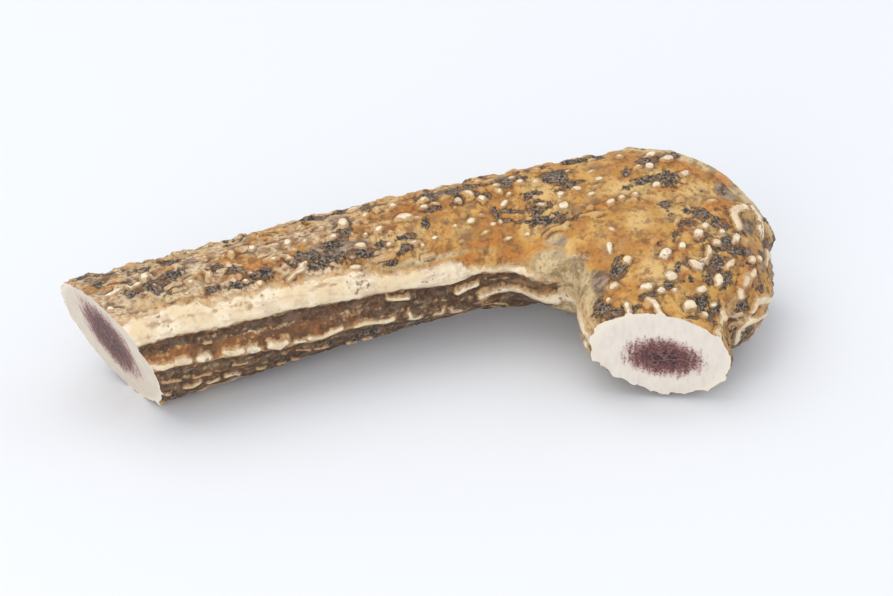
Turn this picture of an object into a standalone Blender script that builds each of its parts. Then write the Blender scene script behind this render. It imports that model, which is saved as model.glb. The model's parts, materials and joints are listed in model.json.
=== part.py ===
"""A sawn piece of forked deer antler, lying on a table.

The beam runs along X and is sawn off at both ends. One tine leaves its thick end
towards -Y and is sawn off short. The piece grew as one, and is parted here at its
fork. Metres, +Z up. The origin is on the table, under the middle of the piece.
"""

import math

import bmesh
import bpy
import numpy as np
from mathutils import Matrix, Vector

# Stations of the beam, from its thin end to the burr end. Each is the middle's x, y and z,
# the half width and half height, and a roll in degrees
BEAM_STATIONS = [
    (-0.1030, 0.0148, 0.0154, 0.0151, 0.0151, 0.0),
    (-0.0760, 0.0153, 0.0154, 0.0151, 0.0151, 0.0),
    (-0.0510, 0.0167, 0.0163, 0.0150, 0.0151, 0.0),
    (-0.0260, 0.0184, 0.0175, 0.0148, 0.0149, 0.0),
    (-0.0020, 0.0191, 0.0184, 0.0145, 0.0147, 0.0),
    (0.0150, 0.0191, 0.0189, 0.0147, 0.0147, 0.0),
    (0.0330, 0.0183, 0.0189, 0.0162, 0.0155, -2.0),
    (0.0510, 0.0173, 0.0184, 0.0186, 0.0164, -8.0),
    (0.0670, 0.0204, 0.0179, 0.0200, 0.0170, -14.0),
    (0.0890, 0.0298, 0.0175, 0.0200, 0.0168, -16.0),
]
# Stations of the tine, from its root to its sawn end
TINE_STATIONS = [
    (0.0560, 0.0188, 0.0177, 0.0290, 0.0160, 0.0),
    (0.0513, 0.0053, 0.0173, 0.0328, 0.0155, -3.0),
    (0.0503, -0.0082, 0.0159, 0.0258, 0.0145, -6.0),
    (0.0440, -0.0182, 0.0141, 0.0183, 0.0129, -10.0),
    (0.0418, -0.0284, 0.0128, 0.0158, 0.0108, -14.0),
    (0.0335, -0.0432, 0.0111, 0.0152, 0.0104, -14.0),
]
RING_SIDES = 48
RINGS_PER_STATION = 6
FUSED_GRAIN = 0.0010
SOFTEN_ROUNDS = 26

# Saw cuts: a point on each, and the way its face looks. A saw cut reaches no further than SAW_REACH
BEAM_CUT = ((-0.0766, 0.0150, 0.0157), (-0.92, -0.38, -0.30))
BURR_CUT = ((0.0665, 0.0158, 0.0182), (0.67, 0.74, 0.0))
TINE_CUT = ((0.0413, -0.0284, 0.0122), (-0.42, -0.90, -0.05))
SAW_REACH = 0.045
# The fork's parting plane, and the gap left there
FORK_CUT = ((0.0550, 0.0003, 0.0167), (0.10, -0.995, 0.0))
FORK_GAP = 0.0003
# Further than any point of the piece is from the fork, so that the parting goes through all of it
FORK_REACH = 1.0

# Pearls on the top: x and y of the middle, length, width, and the bearing of the length in degrees from +X
PEARLS = [
    # Thin end of the beam
    (-0.0772, 0.0088, 0.0022, 0.0016, 0),
    (-0.0745, 0.0130, 0.0060, 0.0016, 25),
    (-0.0695, 0.0140, 0.0040, 0.0014, 10),
    (-0.0675, 0.0158, 0.0028, 0.0022, 80),
    (-0.0620, 0.0104, 0.0022, 0.0014, 0),
    (-0.0580, 0.0112, 0.0026, 0.0016, 20),
    (-0.0595, 0.0165, 0.0022, 0.0015, 0),
    (-0.0535, 0.0120, 0.0034, 0.0016, 70),
    (-0.0530, 0.0180, 0.0022, 0.0020, 0),
    (-0.0500, 0.0122, 0.0020, 0.0014, 0),
    (-0.0470, 0.0165, 0.0032, 0.0024, 75),
    (-0.0460, 0.0090, 0.0020, 0.0014, -20),
    (-0.0430, 0.0078, 0.0024, 0.0018, 0),
    (-0.0418, 0.0172, 0.0022, 0.0018, 30),
    (-0.0380, 0.0126, 0.0038, 0.0014, 5),
    (-0.0363, 0.0164, 0.0018, 0.0016, 0),
    (-0.0345, 0.0120, 0.0024, 0.0012, -10),
    (-0.0337, 0.0160, 0.0024, 0.0020, 60),
    (-0.0330, 0.0088, 0.0048, 0.0014, 20),
    (-0.0298, 0.0156, 0.0022, 0.0018, 45),
    (-0.0290, 0.0184, 0.0020, 0.0016, 0),
    # Middle of the beam
    (-0.0248, 0.0188, 0.0022, 0.0018, 0),
    (-0.0230, 0.0148, 0.0032, 0.0018, 15),
    (-0.0203, 0.0076, 0.0034, 0.0016, 0),
    (-0.0198, 0.0182, 0.0036, 0.0024, 75),
    (-0.0177, 0.0114, 0.0034, 0.0018, -15),
    (-0.0140, 0.0196, 0.0024, 0.0020, 40),
    (-0.0123, 0.0142, 0.0036, 0.0018, 25),
    (-0.0105, 0.0212, 0.0022, 0.0018, 60),
    (-0.0066, 0.0208, 0.0024, 0.0022, 0),
    (-0.0057, 0.0158, 0.0052, 0.0024, -8),
    (-0.0049, 0.0100, 0.0036, 0.0014, -5),
    (0.0000, 0.0100, 0.0018, 0.0012, 0),
    (0.0002, 0.0182, 0.0024, 0.0018, 0),
    (0.0010, 0.0204, 0.0030, 0.0020, 20),
    (0.0028, 0.0178, 0.0034, 0.0020, -10),
    (0.0082, 0.0133, 0.0020, 0.0018, 0),
    (0.0086, 0.0176, 0.0024, 0.0020, -20),
    (0.0097, 0.0115, 0.0026, 0.0018, 0),
    (0.0118, 0.0190, 0.0030, 0.0022, -50),
    (0.0140, 0.0162, 0.0030, 0.0020, -50),
    (0.0144, 0.0100, 0.0020, 0.0012, 0),
    (0.0173, 0.0070, 0.0028, 0.0012, 0),
    (0.0186, 0.0138, 0.0030, 0.0014, 30),
    (0.0187, 0.0198, 0.0024, 0.0018, 0),
    (0.0190, 0.0176, 0.0026, 0.0018, -30),
    (0.0218, 0.0066, 0.0020, 0.0012, 0),
    (0.0230, 0.0090, 0.0034, 0.0014, 0),
    (0.0245, 0.0190, 0.0024, 0.0018, 0),
    (0.0280, 0.0174, 0.0030, 0.0018, 15),
    (0.0300, 0.0034, 0.0024, 0.0018, -40),
    # Back of the head, before the tine
    (0.0320, 0.0095, 0.0028, 0.0020, 0),
    (0.0325, 0.0125, 0.0022, 0.0016, 0),
    (0.0366, 0.0128, 0.0028, 0.0015, -15),
    (0.0374, 0.0062, 0.0024, 0.0020, 0),
    (0.0378, 0.0032, 0.0034, 0.0020, 0),
    (0.0422, 0.0056, 0.0028, 0.0022, 20),
    (0.0428, 0.0138, 0.0028, 0.0015, 0),
    (0.0454, 0.0065, 0.0022, 0.0018, 30),
    (0.0480, 0.0048, 0.0018, 0.0016, 0),
    (0.0488, 0.0063, 0.0022, 0.0020, 0),
    (0.0513, 0.0206, 0.0024, 0.0018, 0),
    (0.0532, 0.0150, 0.0024, 0.0014, 10),
    (0.0550, 0.0083, 0.0028, 0.0018, 40),
    (0.0558, 0.0140, 0.0026, 0.0024, 60),
    (0.0583, 0.0186, 0.0034, 0.0018, 10),
    (0.0590, 0.0024, 0.0024, 0.0020, 0),
    (0.0613, 0.0155, 0.0034, 0.0020, 0),
    (0.0634, 0.0101, 0.0030, 0.0016, 5),
    (0.0668, 0.0017, 0.0036, 0.0014, 5),
    # Tine
    (0.0390, -0.0026, 0.0022, 0.0013, -40),
    (0.0370, -0.0066, 0.0034, 0.0017, 75),
    (0.0393, -0.0117, 0.0028, 0.0022, 35),
    (0.0341, -0.0166, 0.0025, 0.0019, 15),
    (0.0316, -0.0192, 0.0018, 0.0016, 0),
    (0.0344, -0.0232, 0.0024, 0.0014, 80),
    (0.0548, -0.0046, 0.0042, 0.0014, 45),
    (0.0467, -0.0095, 0.0025, 0.0021, 0),
    (0.0478, -0.0140, 0.0038, 0.0025, 40),
    (0.0524, -0.0096, 0.0028, 0.0016, 60),
    (0.0526, -0.0125, 0.0028, 0.0019, 60),
    (0.0580, -0.0094, 0.0034, 0.0024, 50),
    (0.0611, -0.0067, 0.0024, 0.0020, 30),
    (0.0648, -0.0083, 0.0025, 0.0018, 60),
    (0.0681, -0.0095, 0.0044, 0.0018, 45),
    (0.0616, -0.0122, 0.0026, 0.0022, 30),
    (0.0704, -0.0050, 0.0050, 0.0026, 65),
    (0.0733, -0.0004, 0.0050, 0.0020, 35),
    (0.0774, -0.0028, 0.0052, 0.0018, 55),
    (0.0535, -0.0183, 0.0036, 0.0022, 115),
    (0.0562, -0.0170, 0.0036, 0.0014, 20),
    (0.0588, -0.0145, 0.0040, 0.0014, 65),
    (0.0628, -0.0177, 0.0056, 0.0015, 38),
    (0.0400, -0.0209, 0.0034, 0.0024, 15),
    (0.0466, -0.0202, 0.0032, 0.0025, -20),
    (0.0430, -0.0227, 0.0021, 0.0018, 0),
    (0.0462, -0.0231, 0.0019, 0.0017, 0),
    (0.0578, -0.0220, 0.0036, 0.0020, 75),
    (0.0528, -0.0234, 0.0032, 0.0019, 20),
    (0.0552, -0.0254, 0.0022, 0.0015, 20),
    (0.0480, -0.0273, 0.0034, 0.0027, 20),
    (0.0512, -0.0290, 0.0022, 0.0019, 40),
    (0.0574, -0.0267, 0.0034, 0.0020, 45),
    (0.0625, -0.0244, 0.0024, 0.0013, 20),
    (0.0384, -0.0256, 0.0026, 0.0022, 0),
    # Flank of the tine towards the burr end
    (0.0690, -0.0155, 0.0060, 0.0013, 40),
    (0.0725, -0.0125, 0.0050, 0.0013, 40),
    (0.0676, -0.0190, 0.0050, 0.0013, 45),
    (0.0655, -0.0215, 0.0040, 0.0013, 45),
    (0.0768, -0.0078, 0.0040, 0.0014, 45),
]
PEARL_RISE = 0.52
# Where the skin's normal has at least this much of +Z, it is on the top
TOP_LEAST_UP = 0.05
# Scattered pearls where the top turns away to the back: beyond this y, and above this much of +Z
BACK_FROM_Y = 0.0225
BACK_LEAST_UP = -0.25
BACK_PEARLS = 70
BACK_PEARL_SPACING = 0.0052
BACK_PEARL_WIDTH = 0.0021
BACK_PEARL_WIDTH_SPREAD = 0.48
BACK_PEARL_STRETCH = 1.45
BACK_PEARL_STRETCH_SPREAD = 0.62
BACK_PEARL_TURN = 50.0
SEED = 11

# The broad smooth ridge along the beam's front: x, its bearing in degrees from the top, and its half width
SMOOTH_RIDGE = [
    (-0.0900, 44.0, 0.0038),
    (-0.0700, 48.0, 0.0036),
    (-0.0300, 59.0, 0.0034),
    (0.0000, 72.0, 0.0032),
    (0.0080, 75.0, 0.0022),
    (0.0250, 80.0, 0.0016),
    (0.0400, 84.0, 0.0014),
]
SMOOTH_RIDGE_RISE = 0.0006
# Rows of beads along the beam, from the front under it to the back: bearings at the thin end, and their turn
FIRST_ROW = 87.0
LAST_ROW = 330.0
ROW_STEP = 15.0
ROW_TWIST = 350.0
ROW_START = -0.0700
# Rows of beads on the tine, on its sides and below
TINE_FIRST_ROW = 78.0
TINE_LAST_ROW = 285.0
ROW_RISE = 0.00045
BEAD_LENGTH = 0.0048
BEAD_LENGTH_SPREAD = 0.5
BEAD_WIDTH = 0.0026
BEAD_WIDTH_SPREAD = 0.4
BEAD_RISE = 0.00063
BEAD_RISE_SPREAD = 0.67
# How far a bead may lie off its row's line, and the longest gap to the next as a share of its half length
BEAD_ASIDE = 0.0002
BEAD_GAP = 0.4
# The share of the row's own ridge that is left under a bead
ROW_UNDER_BEAD = 0.5
# Where beam and tine meet, their rows cross over within this difference in distance, in radii
LIMB_BLEND = 0.3
# The hollow of the fork is smooth: its middle, and how far the smooth skin reaches
FORK_HOLLOW = (0.0270, -0.0010, 0.0170)
FORK_HOLLOW_REACH = 0.0150

# The triangles that the whole form keeps before it is sawn
TRIANGLES = 12500

SKIN_COLOUR = (0.40, 0.22, 0.08, 1.0)
SKIN_ROUGHNESS = 0.6
SAWN_COLOUR = (0.72, 0.62, 0.55, 1.0)
SAWN_ROUGHNESS = 0.75


def along_stations(stations, t):
    """The station at t, counted in stations, on a smooth curve through all of them."""
    i = min(int(t), len(stations) - 2)
    f = t - i
    rows = np.array(stations)
    p = [rows[min(max(i + k, 0), len(rows) - 1)] for k in (-1, 0, 1, 2)]
    return 0.5 * (2 * p[1] + (p[2] - p[0]) * f + (2 * p[0] - 5 * p[1] + 4 * p[2] - p[3]) * f**2
                  + (3 * p[1] - p[0] - 3 * p[2] + p[3]) * f**3)


def rings_of(stations):
    """For each ring of a limb: its middle, its side and top directions, its half width and half height."""
    count = (len(stations) - 1) * RINGS_PER_STATION + 1
    rows = [along_stations(stations, k / RINGS_PER_STATION) for k in range(count)]
    rings = []
    for k, row in enumerate(rows):
        ahead = Vector(rows[min(k + 1, count - 1)][:3]) - Vector(rows[max(k - 1, 0)][:3])
        side = ahead.cross(Vector((0, 0, 1))).normalized()
        top = side.cross(ahead).normalized()
        roll = Matrix.Rotation(math.radians(row[5]), 3, ahead)
        rings.append((Vector(row[:3]), roll @ side, roll @ top, row[3], row[4]))
    return rings


def add_limb(bm, stations):
    """Adds a closed tube through a limb's rings."""
    loops = []
    for middle, side, top, half_width, half_height in rings_of(stations):
        turns = [2 * math.pi * j / RING_SIDES for j in range(RING_SIDES)]
        loops.append([bm.verts.new(middle + side * half_width * math.cos(a) + top * half_height * math.sin(a))
                      for a in turns])
    for near, far in zip(loops, loops[1:]):
        for j in range(RING_SIDES):
            k = (j + 1) % RING_SIDES
            bm.faces.new((near[j], near[k], far[k], far[j]))
    bm.faces.new(loops[0])
    bm.faces.new(loops[-1])


def evaluated(obj):
    """A new mesh: what the object's modifiers make of it."""
    graph = bpy.context.evaluated_depsgraph_get()
    return bpy.data.meshes.new_from_object(obj.evaluated_get(graph))


def fused_form():
    """Beam and tine fused into one skin, longer than the piece, with the fork's hollow filled and rounded."""
    bm = bmesh.new()
    add_limb(bm, BEAM_STATIONS)
    add_limb(bm, TINE_STATIONS)
    bmesh.ops.recalc_face_normals(bm, faces=bm.faces)
    mesh = bpy.data.meshes.new("form")
    bm.to_mesh(mesh)
    bm.free()
    obj = bpy.data.objects.new("form", mesh)
    bpy.context.scene.collection.objects.link(obj)
    fuse = obj.modifiers.new("fuse", "REMESH")
    fuse.mode = "VOXEL"
    fuse.voxel_size = FUSED_GRAIN
    soften = obj.modifiers.new("soften", "SMOOTH")
    soften.factor = 0.5
    soften.iterations = SOFTEN_ROUNDS
    obj.data = evaluated(obj)
    obj.modifiers.clear()
    return obj


def place_on_limb(points, stations):
    """For each point: its bearing round the limb from the top, and its distance out in radii."""
    rings = rings_of(stations)
    middles = np.array([ring[0] for ring in rings])
    nearest = np.argmin(((points[:, None] - middles[None]) ** 2).sum(2), axis=1)
    away = points - middles[nearest]
    across = (away * np.array([ring[1] for ring in rings])[nearest]).sum(1)
    up = (away * np.array([ring[2] for ring in rings])[nearest]).sum(1)
    widths = np.array([ring[3] for ring in rings])[nearest]
    heights = np.array([ring[4] for ring in rings])[nearest]
    return np.arctan2(across, up), np.hypot(across / widths, up / heights)


def varied(value, spread, chance):
    """A value with its share of chance: up to half the spread more or less."""
    return value * (1 + spread * (chance.random() - 0.5))


def dome(along, across):
    """A bead's height at a place given in half lengths and half widths from its middle."""
    return np.sqrt(np.clip(1 - along**2 - across**2, 0, None))


def pearl(points, place, normal, bearing, length, width):
    """The height of one pearl over the skin around its place."""
    way = Vector((math.cos(bearing), math.sin(bearing), 0))
    way = (way - normal * way.dot(normal)).normalized()
    away = points - np.array(place)
    along = away @ np.array(way) / (length / 2)
    across = away @ np.array(normal.cross(way)) / (width / 2)
    near = (away**2).sum(1) < length**2
    return near * width * PEARL_RISE * dome(along, across)


def top_pearls(points, normals):
    """The height of the pearls that are placed by hand."""
    height = np.zeros(len(points))
    upward = normals[:, 2] > TOP_LEAST_UP
    for x, y, length, width, bearing in PEARLS:
        gap = np.where(upward, np.hypot(points[:, 0] - x, points[:, 1] - y), 1.0)
        spot = int(gap.argmin())
        one = pearl(points, Vector(points[spot]), Vector(normals[spot]), math.radians(bearing), length, width)
        height = np.maximum(height, one)
    return height


def back_pearls(points, normals, chance):
    """The height of pearls scattered over the back of the top."""
    height = np.zeros(len(points))
    allowed = np.flatnonzero((normals[:, 2] > BACK_LEAST_UP) & (points[:, 1] > BACK_FROM_Y))
    placed = []
    for spot in chance.permutation(allowed):
        place = Vector(points[spot])
        if len(placed) < BACK_PEARLS and all((place - other).length > BACK_PEARL_SPACING for other in placed):
            placed.append(place)
            width = varied(BACK_PEARL_WIDTH, BACK_PEARL_WIDTH_SPREAD, chance)
            length = width * varied(BACK_PEARL_STRETCH, BACK_PEARL_STRETCH_SPREAD, chance)
            bearing = math.radians(BACK_PEARL_TURN * (chance.random() - 0.5))
            height = np.maximum(height, pearl(points, place, Vector(normals[spot]), bearing, length, width))
    return height


def bead_row(along, across, chance):
    """The height of one row: a low ridge, with a long bead every few millimetres."""
    height = ROW_RISE * np.clip(1 - (across / BEAD_WIDTH) ** 2, 0, None)
    start = along.min()
    while start < along.max():
        half_length = varied(BEAD_LENGTH / 2, BEAD_LENGTH_SPREAD, chance)
        half_width = varied(BEAD_WIDTH / 2, BEAD_WIDTH_SPREAD, chance)
        aside = 2 * BEAD_ASIDE * (chance.random() - 0.5)
        tall = varied(BEAD_RISE, BEAD_RISE_SPREAD, chance)
        start += half_length
        bead = tall * dome((along - start) / half_length, (across - aside) / half_width)
        height = np.maximum(height, ROW_UNDER_BEAD * height + bead)
        start += half_length * (1.0 + BEAD_GAP * chance.random())
    return height


def around_to(around, bearing):
    """The turn from a bearing to each point's bearing, between -pi and pi."""
    return np.mod(around - bearing + math.pi, 2 * math.pi) - math.pi


def beam_rows(points, around, chance):
    """The height of the smooth ridge and of the rows of beads along the beam."""
    x = points[:, 0]
    radius = BEAM_STATIONS[1][3]
    ridge_x, ridge_bearing, ridge_half = np.array(SMOOTH_RIDGE).T
    across = around_to(around, np.radians(np.interp(x, ridge_x, ridge_bearing))) * radius
    half = np.interp(x, ridge_x, ridge_half)
    height = SMOOTH_RIDGE_RISE * np.clip(1 - (across / half) ** 4, 0, None)
    bearing = FIRST_ROW
    while bearing < LAST_ROW:
        turned = np.radians(bearing + ROW_TWIST * (x - ROW_START))
        height = np.maximum(height, bead_row(x, around_to(around, turned) * radius, chance))
        bearing += ROW_STEP
    return height


def tine_rows(points, around, chance):
    """The height of the rows of beads along the tine's sides and under it."""
    height = np.zeros(len(points))
    bearing = TINE_FIRST_ROW
    while bearing < TINE_LAST_ROW:
        across = around_to(around, math.radians(bearing)) * TINE_STATIONS[3][3]
        height = np.maximum(height, bead_row(points[:, 1], across, chance))
        bearing += ROW_STEP
    return height


def raise_relief(obj):
    """Moves the skin out along its normals into ridges, beads and pearls."""
    mesh = obj.data
    count = len(mesh.vertices)
    points = np.empty(count * 3)
    mesh.vertices.foreach_get("co", points)
    points = points.reshape(-1, 3)
    normals = np.empty(count * 3)
    mesh.vertices.foreach_get("normal", normals)
    normals = normals.reshape(-1, 3)
    chance = np.random.default_rng(SEED)
    beam_around, beam_out = place_on_limb(points, BEAM_STATIONS)
    tine_around, tine_out = place_on_limb(points, TINE_STATIONS)
    on_tine = np.clip((beam_out - tine_out) / LIMB_BLEND + 0.5, 0, 1)
    rows = beam_rows(points, beam_around, chance) * (1 - on_tine)
    rows += tine_rows(points, tine_around, chance) * on_tine
    hollow = np.linalg.norm(points - np.array(FORK_HOLLOW), axis=1) / FORK_HOLLOW_REACH
    rows *= np.clip(hollow * 2 - 1, 0, 1)
    height = np.maximum(rows, top_pearls(points, normals))
    height = np.maximum(height, back_pearls(points, normals, chance))
    points += normals * height[:, None]
    mesh.vertices.foreach_set("co", points.ravel())
    mesh.update()


def thin_out(obj):
    """Keeps triangles where the relief is and few where the skin is even."""
    obj.data.calc_loop_triangles()
    thin = obj.modifiers.new("thin", "DECIMATE")
    thin.ratio = TRIANGLES / len(obj.data.loop_triangles)
    obj.data = evaluated(obj)
    obj.modifiers.clear()


def saw(bm, cut, reach, shift=0.0):
    """Saws off what lies past the cut, and closes the face with the second material."""
    point, way = Vector(cut[0]), Vector(cut[1]).normalized()
    near = [f for f in bm.faces if (f.calc_center_median() - point).length < reach]
    edges = dict.fromkeys(e for f in near for e in f.edges)
    verts = dict.fromkeys(v for f in near for v in f.verts)
    made = bmesh.ops.bisect_plane(bm, geom=[*near, *edges, *verts], plane_co=point + way * shift,
                                  plane_no=way, clear_outer=True)
    rim = [e for e in made["geom_cut"] if isinstance(e, bmesh.types.BMEdge)]
    for face in bmesh.ops.contextual_create(bm, geom=rim)["faces"]:
        face.material_index = 1


def material(name, colour, roughness):
    """A plain material with one colour and roughness."""
    made = bpy.data.materials.new(name)
    made.use_nodes = True
    shader = made.node_tree.nodes["Principled BSDF"]
    shader.inputs["Base Color"].default_value = colour
    shader.inputs["Roughness"].default_value = roughness
    return made


def limb_object(name, form, cuts):
    """One limb as its own solid, sawn out of the fused form."""
    bm = bmesh.new()
    bm.from_mesh(form.data)
    for cut, reach, shift in cuts:
        saw(bm, cut, reach, shift)
    mesh = bpy.data.meshes.new(name)
    bm.to_mesh(mesh)
    bm.free()
    mesh.materials.append(material(name + "_skin", SKIN_COLOUR, SKIN_ROUGHNESS))
    mesh.materials.append(material(name + "_sawn", SAWN_COLOUR, SAWN_ROUGHNESS))
    obj = bpy.data.objects.new(name, mesh)
    bpy.context.scene.collection.objects.link(obj)
    return obj


def stand_on_table(objects):
    """Brings the middle of the piece over the origin and its lowest point down to the table."""
    corners = np.array([v.co for obj in objects for v in obj.data.vertices])
    low, high = corners.min(axis=0), corners.max(axis=0)
    shift = Matrix.Translation((-(low[0] + high[0]) / 2, -(low[1] + high[1]) / 2, -low[2]))
    for obj in objects:
        obj.data.transform(shift)


def main():
    for obj in list(bpy.data.objects):
        bpy.data.objects.remove(obj)
    form = fused_form()
    raise_relief(form)
    thin_out(form)
    back_of_fork = (FORK_CUT[0], tuple(-x for x in FORK_CUT[1]))
    beam = limb_object("beam", form, [(BEAM_CUT, SAW_REACH, 0), (BURR_CUT, SAW_REACH, 0),
                                      (FORK_CUT, FORK_REACH, -FORK_GAP / 2)])
    tine = limb_object("tine", form, [(TINE_CUT, SAW_REACH, 0), (BURR_CUT, SAW_REACH, 0),
                                      (back_of_fork, FORK_REACH, -FORK_GAP / 2)])
    bpy.data.objects.remove(form)
    stand_on_table([beam, tine])


main()
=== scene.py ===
# %% [markdown]
# # A sawn piece of forked deer antler
#
# The real thing is one piece of grown bone: a beam, and a short tine that forks off its thick end.
# Its skin carries white pearls, rows of beads, a broad polished ridge and dark crusts, and it is
# sawn off flat at three places, where an ivory ring of dense bone lies round a porous core.
# The CAD solids give the form. This script copies them into one continuous skin, raises the
# finer relief on it, saws it again so that the rims are crisp, and colours it with nodes.

# %% Load the frame
import json
import math

import bpy
import numpy as np
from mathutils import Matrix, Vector, noise

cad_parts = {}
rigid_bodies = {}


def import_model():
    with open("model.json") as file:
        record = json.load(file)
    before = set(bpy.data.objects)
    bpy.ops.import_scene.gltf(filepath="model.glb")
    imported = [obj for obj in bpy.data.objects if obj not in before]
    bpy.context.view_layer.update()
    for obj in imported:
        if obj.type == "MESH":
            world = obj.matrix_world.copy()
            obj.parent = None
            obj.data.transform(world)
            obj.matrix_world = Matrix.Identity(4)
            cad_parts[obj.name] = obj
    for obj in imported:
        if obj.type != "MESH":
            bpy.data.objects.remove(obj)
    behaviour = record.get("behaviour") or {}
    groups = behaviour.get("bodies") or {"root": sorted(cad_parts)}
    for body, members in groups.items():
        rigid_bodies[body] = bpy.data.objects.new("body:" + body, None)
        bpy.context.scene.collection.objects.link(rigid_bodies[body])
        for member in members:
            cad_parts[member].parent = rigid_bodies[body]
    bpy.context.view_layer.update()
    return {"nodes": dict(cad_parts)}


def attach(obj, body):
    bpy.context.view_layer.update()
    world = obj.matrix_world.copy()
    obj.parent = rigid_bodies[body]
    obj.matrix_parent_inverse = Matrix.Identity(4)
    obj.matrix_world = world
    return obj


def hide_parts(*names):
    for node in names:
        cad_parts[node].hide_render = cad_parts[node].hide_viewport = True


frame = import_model()

# %% [markdown]
# ## Selecting
#
# Operators act on whatever is selected, so each step first selects its own object alone. Faces are
# picked in code while the object is out of edit mode, and for that the face mode is switched on once.

# %% A way to select one object, and to apply modifiers
bpy.context.tool_settings.mesh_select_mode = (False, False, True)


def only(obj):
    """Selects one object and makes it active."""
    bpy.ops.object.select_all(action="DESELECT")
    obj.select_set(True)
    bpy.context.view_layer.objects.active = obj


def finish_with(obj, name, kind, **settings):
    """Adds a modifier to an object and applies it."""
    only(obj)
    modifier = obj.modifiers.new(name, kind)
    for key, value in settings.items():
        setattr(modifier, key, value)
    bpy.ops.object.modifier_apply(modifier=modifier.name)


# %% [markdown]
# ## The skin's form
#
# Beam and tine grew as one, but the solids are parted at the fork. Their copies are joined, and the
# tine's parted face is pushed on into the beam, so that a voxel remesh makes one skin of both.
# The sawn faces are pushed out as well: the remesh rounds every edge, and the extra length is sawn
# off again at the end. Smoothing takes the solids' facets away.

# %% The flat faces: a point on each, and the way it looks
CUTS = {
    "beam": (Vector((-0.07594, 0.01494, 0.01560)), Vector((-0.92, -0.38, -0.30)).normalized()),
    "burr": (Vector((0.06065, 0.02131, 0.01644)), Vector((0.67, 0.74, 0.0)).normalized()),
    "tine": (Vector((0.04228, -0.02887, 0.01135)), Vector((-0.42, -0.90, -0.05)).normalized()),
}
FORK = (Vector((0.05131, -0.00068, 0.01524)), Vector((-0.10, 0.995, 0.0)).normalized())
SAME_WAY = 0.999
OFF_PLANE = 0.0002


def lies_in(face, point, way):
    """Whether a face lies in the plane through a point and looks its way."""
    return face.normal.dot(way) > SAME_WAY and abs((face.center - point).dot(way)) < OFF_PLANE


def push_out(obj, point, way, distance):
    """Extrudes the flat face at a point along the way that it looks."""
    only(obj)
    for face in obj.data.polygons:
        face.select = lies_in(face, point, way)
    bpy.ops.object.mode_set(mode="EDIT")
    bpy.ops.mesh.extrude_region_move(TRANSFORM_OT_translate={"value": way * distance})
    bpy.ops.mesh.select_all(action="DESELECT")
    bpy.ops.object.mode_set(mode="OBJECT")


# %% Copy the solids, join them and merge their loose triangles
MERGE_WITHIN = 0.00001
bpy.ops.object.select_all(action="DESELECT")
for name in ("beam", "tine"):
    frame["nodes"][name].select_set(True)
bpy.context.view_layer.objects.active = frame["nodes"]["beam"]
bpy.ops.object.duplicate()
bpy.ops.object.join()
bpy.ops.object.parent_clear(type="CLEAR_KEEP_TRANSFORM")
skin = bpy.context.active_object
skin.name = "antler"
skin.data.materials.clear()
bpy.ops.object.mode_set(mode="EDIT")
bpy.ops.mesh.select_all(action="SELECT")
bpy.ops.mesh.remove_doubles(threshold=MERGE_WITHIN)
bpy.ops.mesh.select_all(action="DESELECT")
bpy.ops.object.mode_set(mode="OBJECT")
print("copied", len(skin.data.polygons), "faces")

# %% Push the flat faces out, and make one smooth skin
CUT_SPARE = 0.006
FORK_OVERLAP = 0.002
COARSE_GRAIN = 0.00066
push_out(skin, *FORK, FORK_OVERLAP)
for point, way in CUTS.values():
    push_out(skin, point, way, CUT_SPARE)
finish_with(skin, "fuse", "REMESH", mode="VOXEL", voxel_size=COARSE_GRAIN)
finish_with(skin, "soften", "SMOOTH", factor=0.5, iterations=12)
print("fused skin", len(skin.data.vertices), "vertices")

# %% [markdown]
# ## The web at the fork
#
# On the real antler a smooth web of bone fills the corner between beam and tine, where the joined
# solids leave a crease. The faces there that look out of the corner are relaxed, most of all those
# close to its middle, as one would with a smoothing brush. Then the whole skin is subdivided once,
# so that it is fine enough to carry the pearls.

# %% Relax the corner, then refine the skin
WEB_MIDDLE = Vector((0.0285, -0.0030, 0.0140))
WEB_WAY = Vector((-0.7, -0.7, 0.0))
WEB_REACH_AND_ROUNDS = ((0.0095, 120), (0.0115, 8))
only(skin)
for reach, rounds in WEB_REACH_AND_ROUNDS:
    for face in skin.data.polygons:
        face.select = (face.center - WEB_MIDDLE).length < reach and face.normal.dot(WEB_WAY) > 0.1
    bpy.ops.object.mode_set(mode="EDIT")
    bpy.ops.mesh.vertices_smooth(factor=0.5, repeat=rounds)
    bpy.ops.mesh.select_all(action="DESELECT")
    bpy.ops.object.mode_set(mode="OBJECT")
finish_with(skin, "refine", "SUBSURF", levels=1, render_levels=1)
print("refined skin", len(skin.data.vertices), "vertices")

# %% [markdown]
# ## Where things are on the skin
#
# The relief follows the way antler grows, so each point is also given a bearing round its limb,
# from the top towards the front or the left. The grooves turn slowly round the beam on their way to
# the burr. The turn is taken out of the bearing, so that one number names one groove all along.
# Tables like these two hold millimetres, and all else is in metres.

# %% Middle lines: a place along the limb, then its middle across and its height
BEAM_LINE = [
    (-100, 14.6, 15.7), (-51, 16.3, 16.6), (-2, 18.7, 18.7), (33, 18, 19.2), (60, 18.5, 18.5),
    (90, 26, 18),
]
TINE_LINE = [
    (-45, 34.2, 11.4), (-28.8, 42.4, 13.1), (-18.6, 44.7, 14.4), (-8.6, 50.9, 16.2), (5, 52, 17.6),
]

# %% Points, normals and bearings
MM = 0.001
GROOVE_TURN = 350.0
TURN_START = -0.0694
FORK_TOP = np.array([0.0270, -0.0010, 0.0170])


def read_vectors(mesh, what):
    """A mesh's places or normals as an array."""
    values = np.empty(len(mesh.vertices) * 3)
    mesh.vertices.foreach_get(what, values)
    return values.reshape(-1, 3)


def ease(value, low, high):
    """0 below low, 1 above high, and a smooth step between."""
    step = np.clip((value - low) / (high - low), 0, 1)
    return step * step * (3 - 2 * step)


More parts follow.
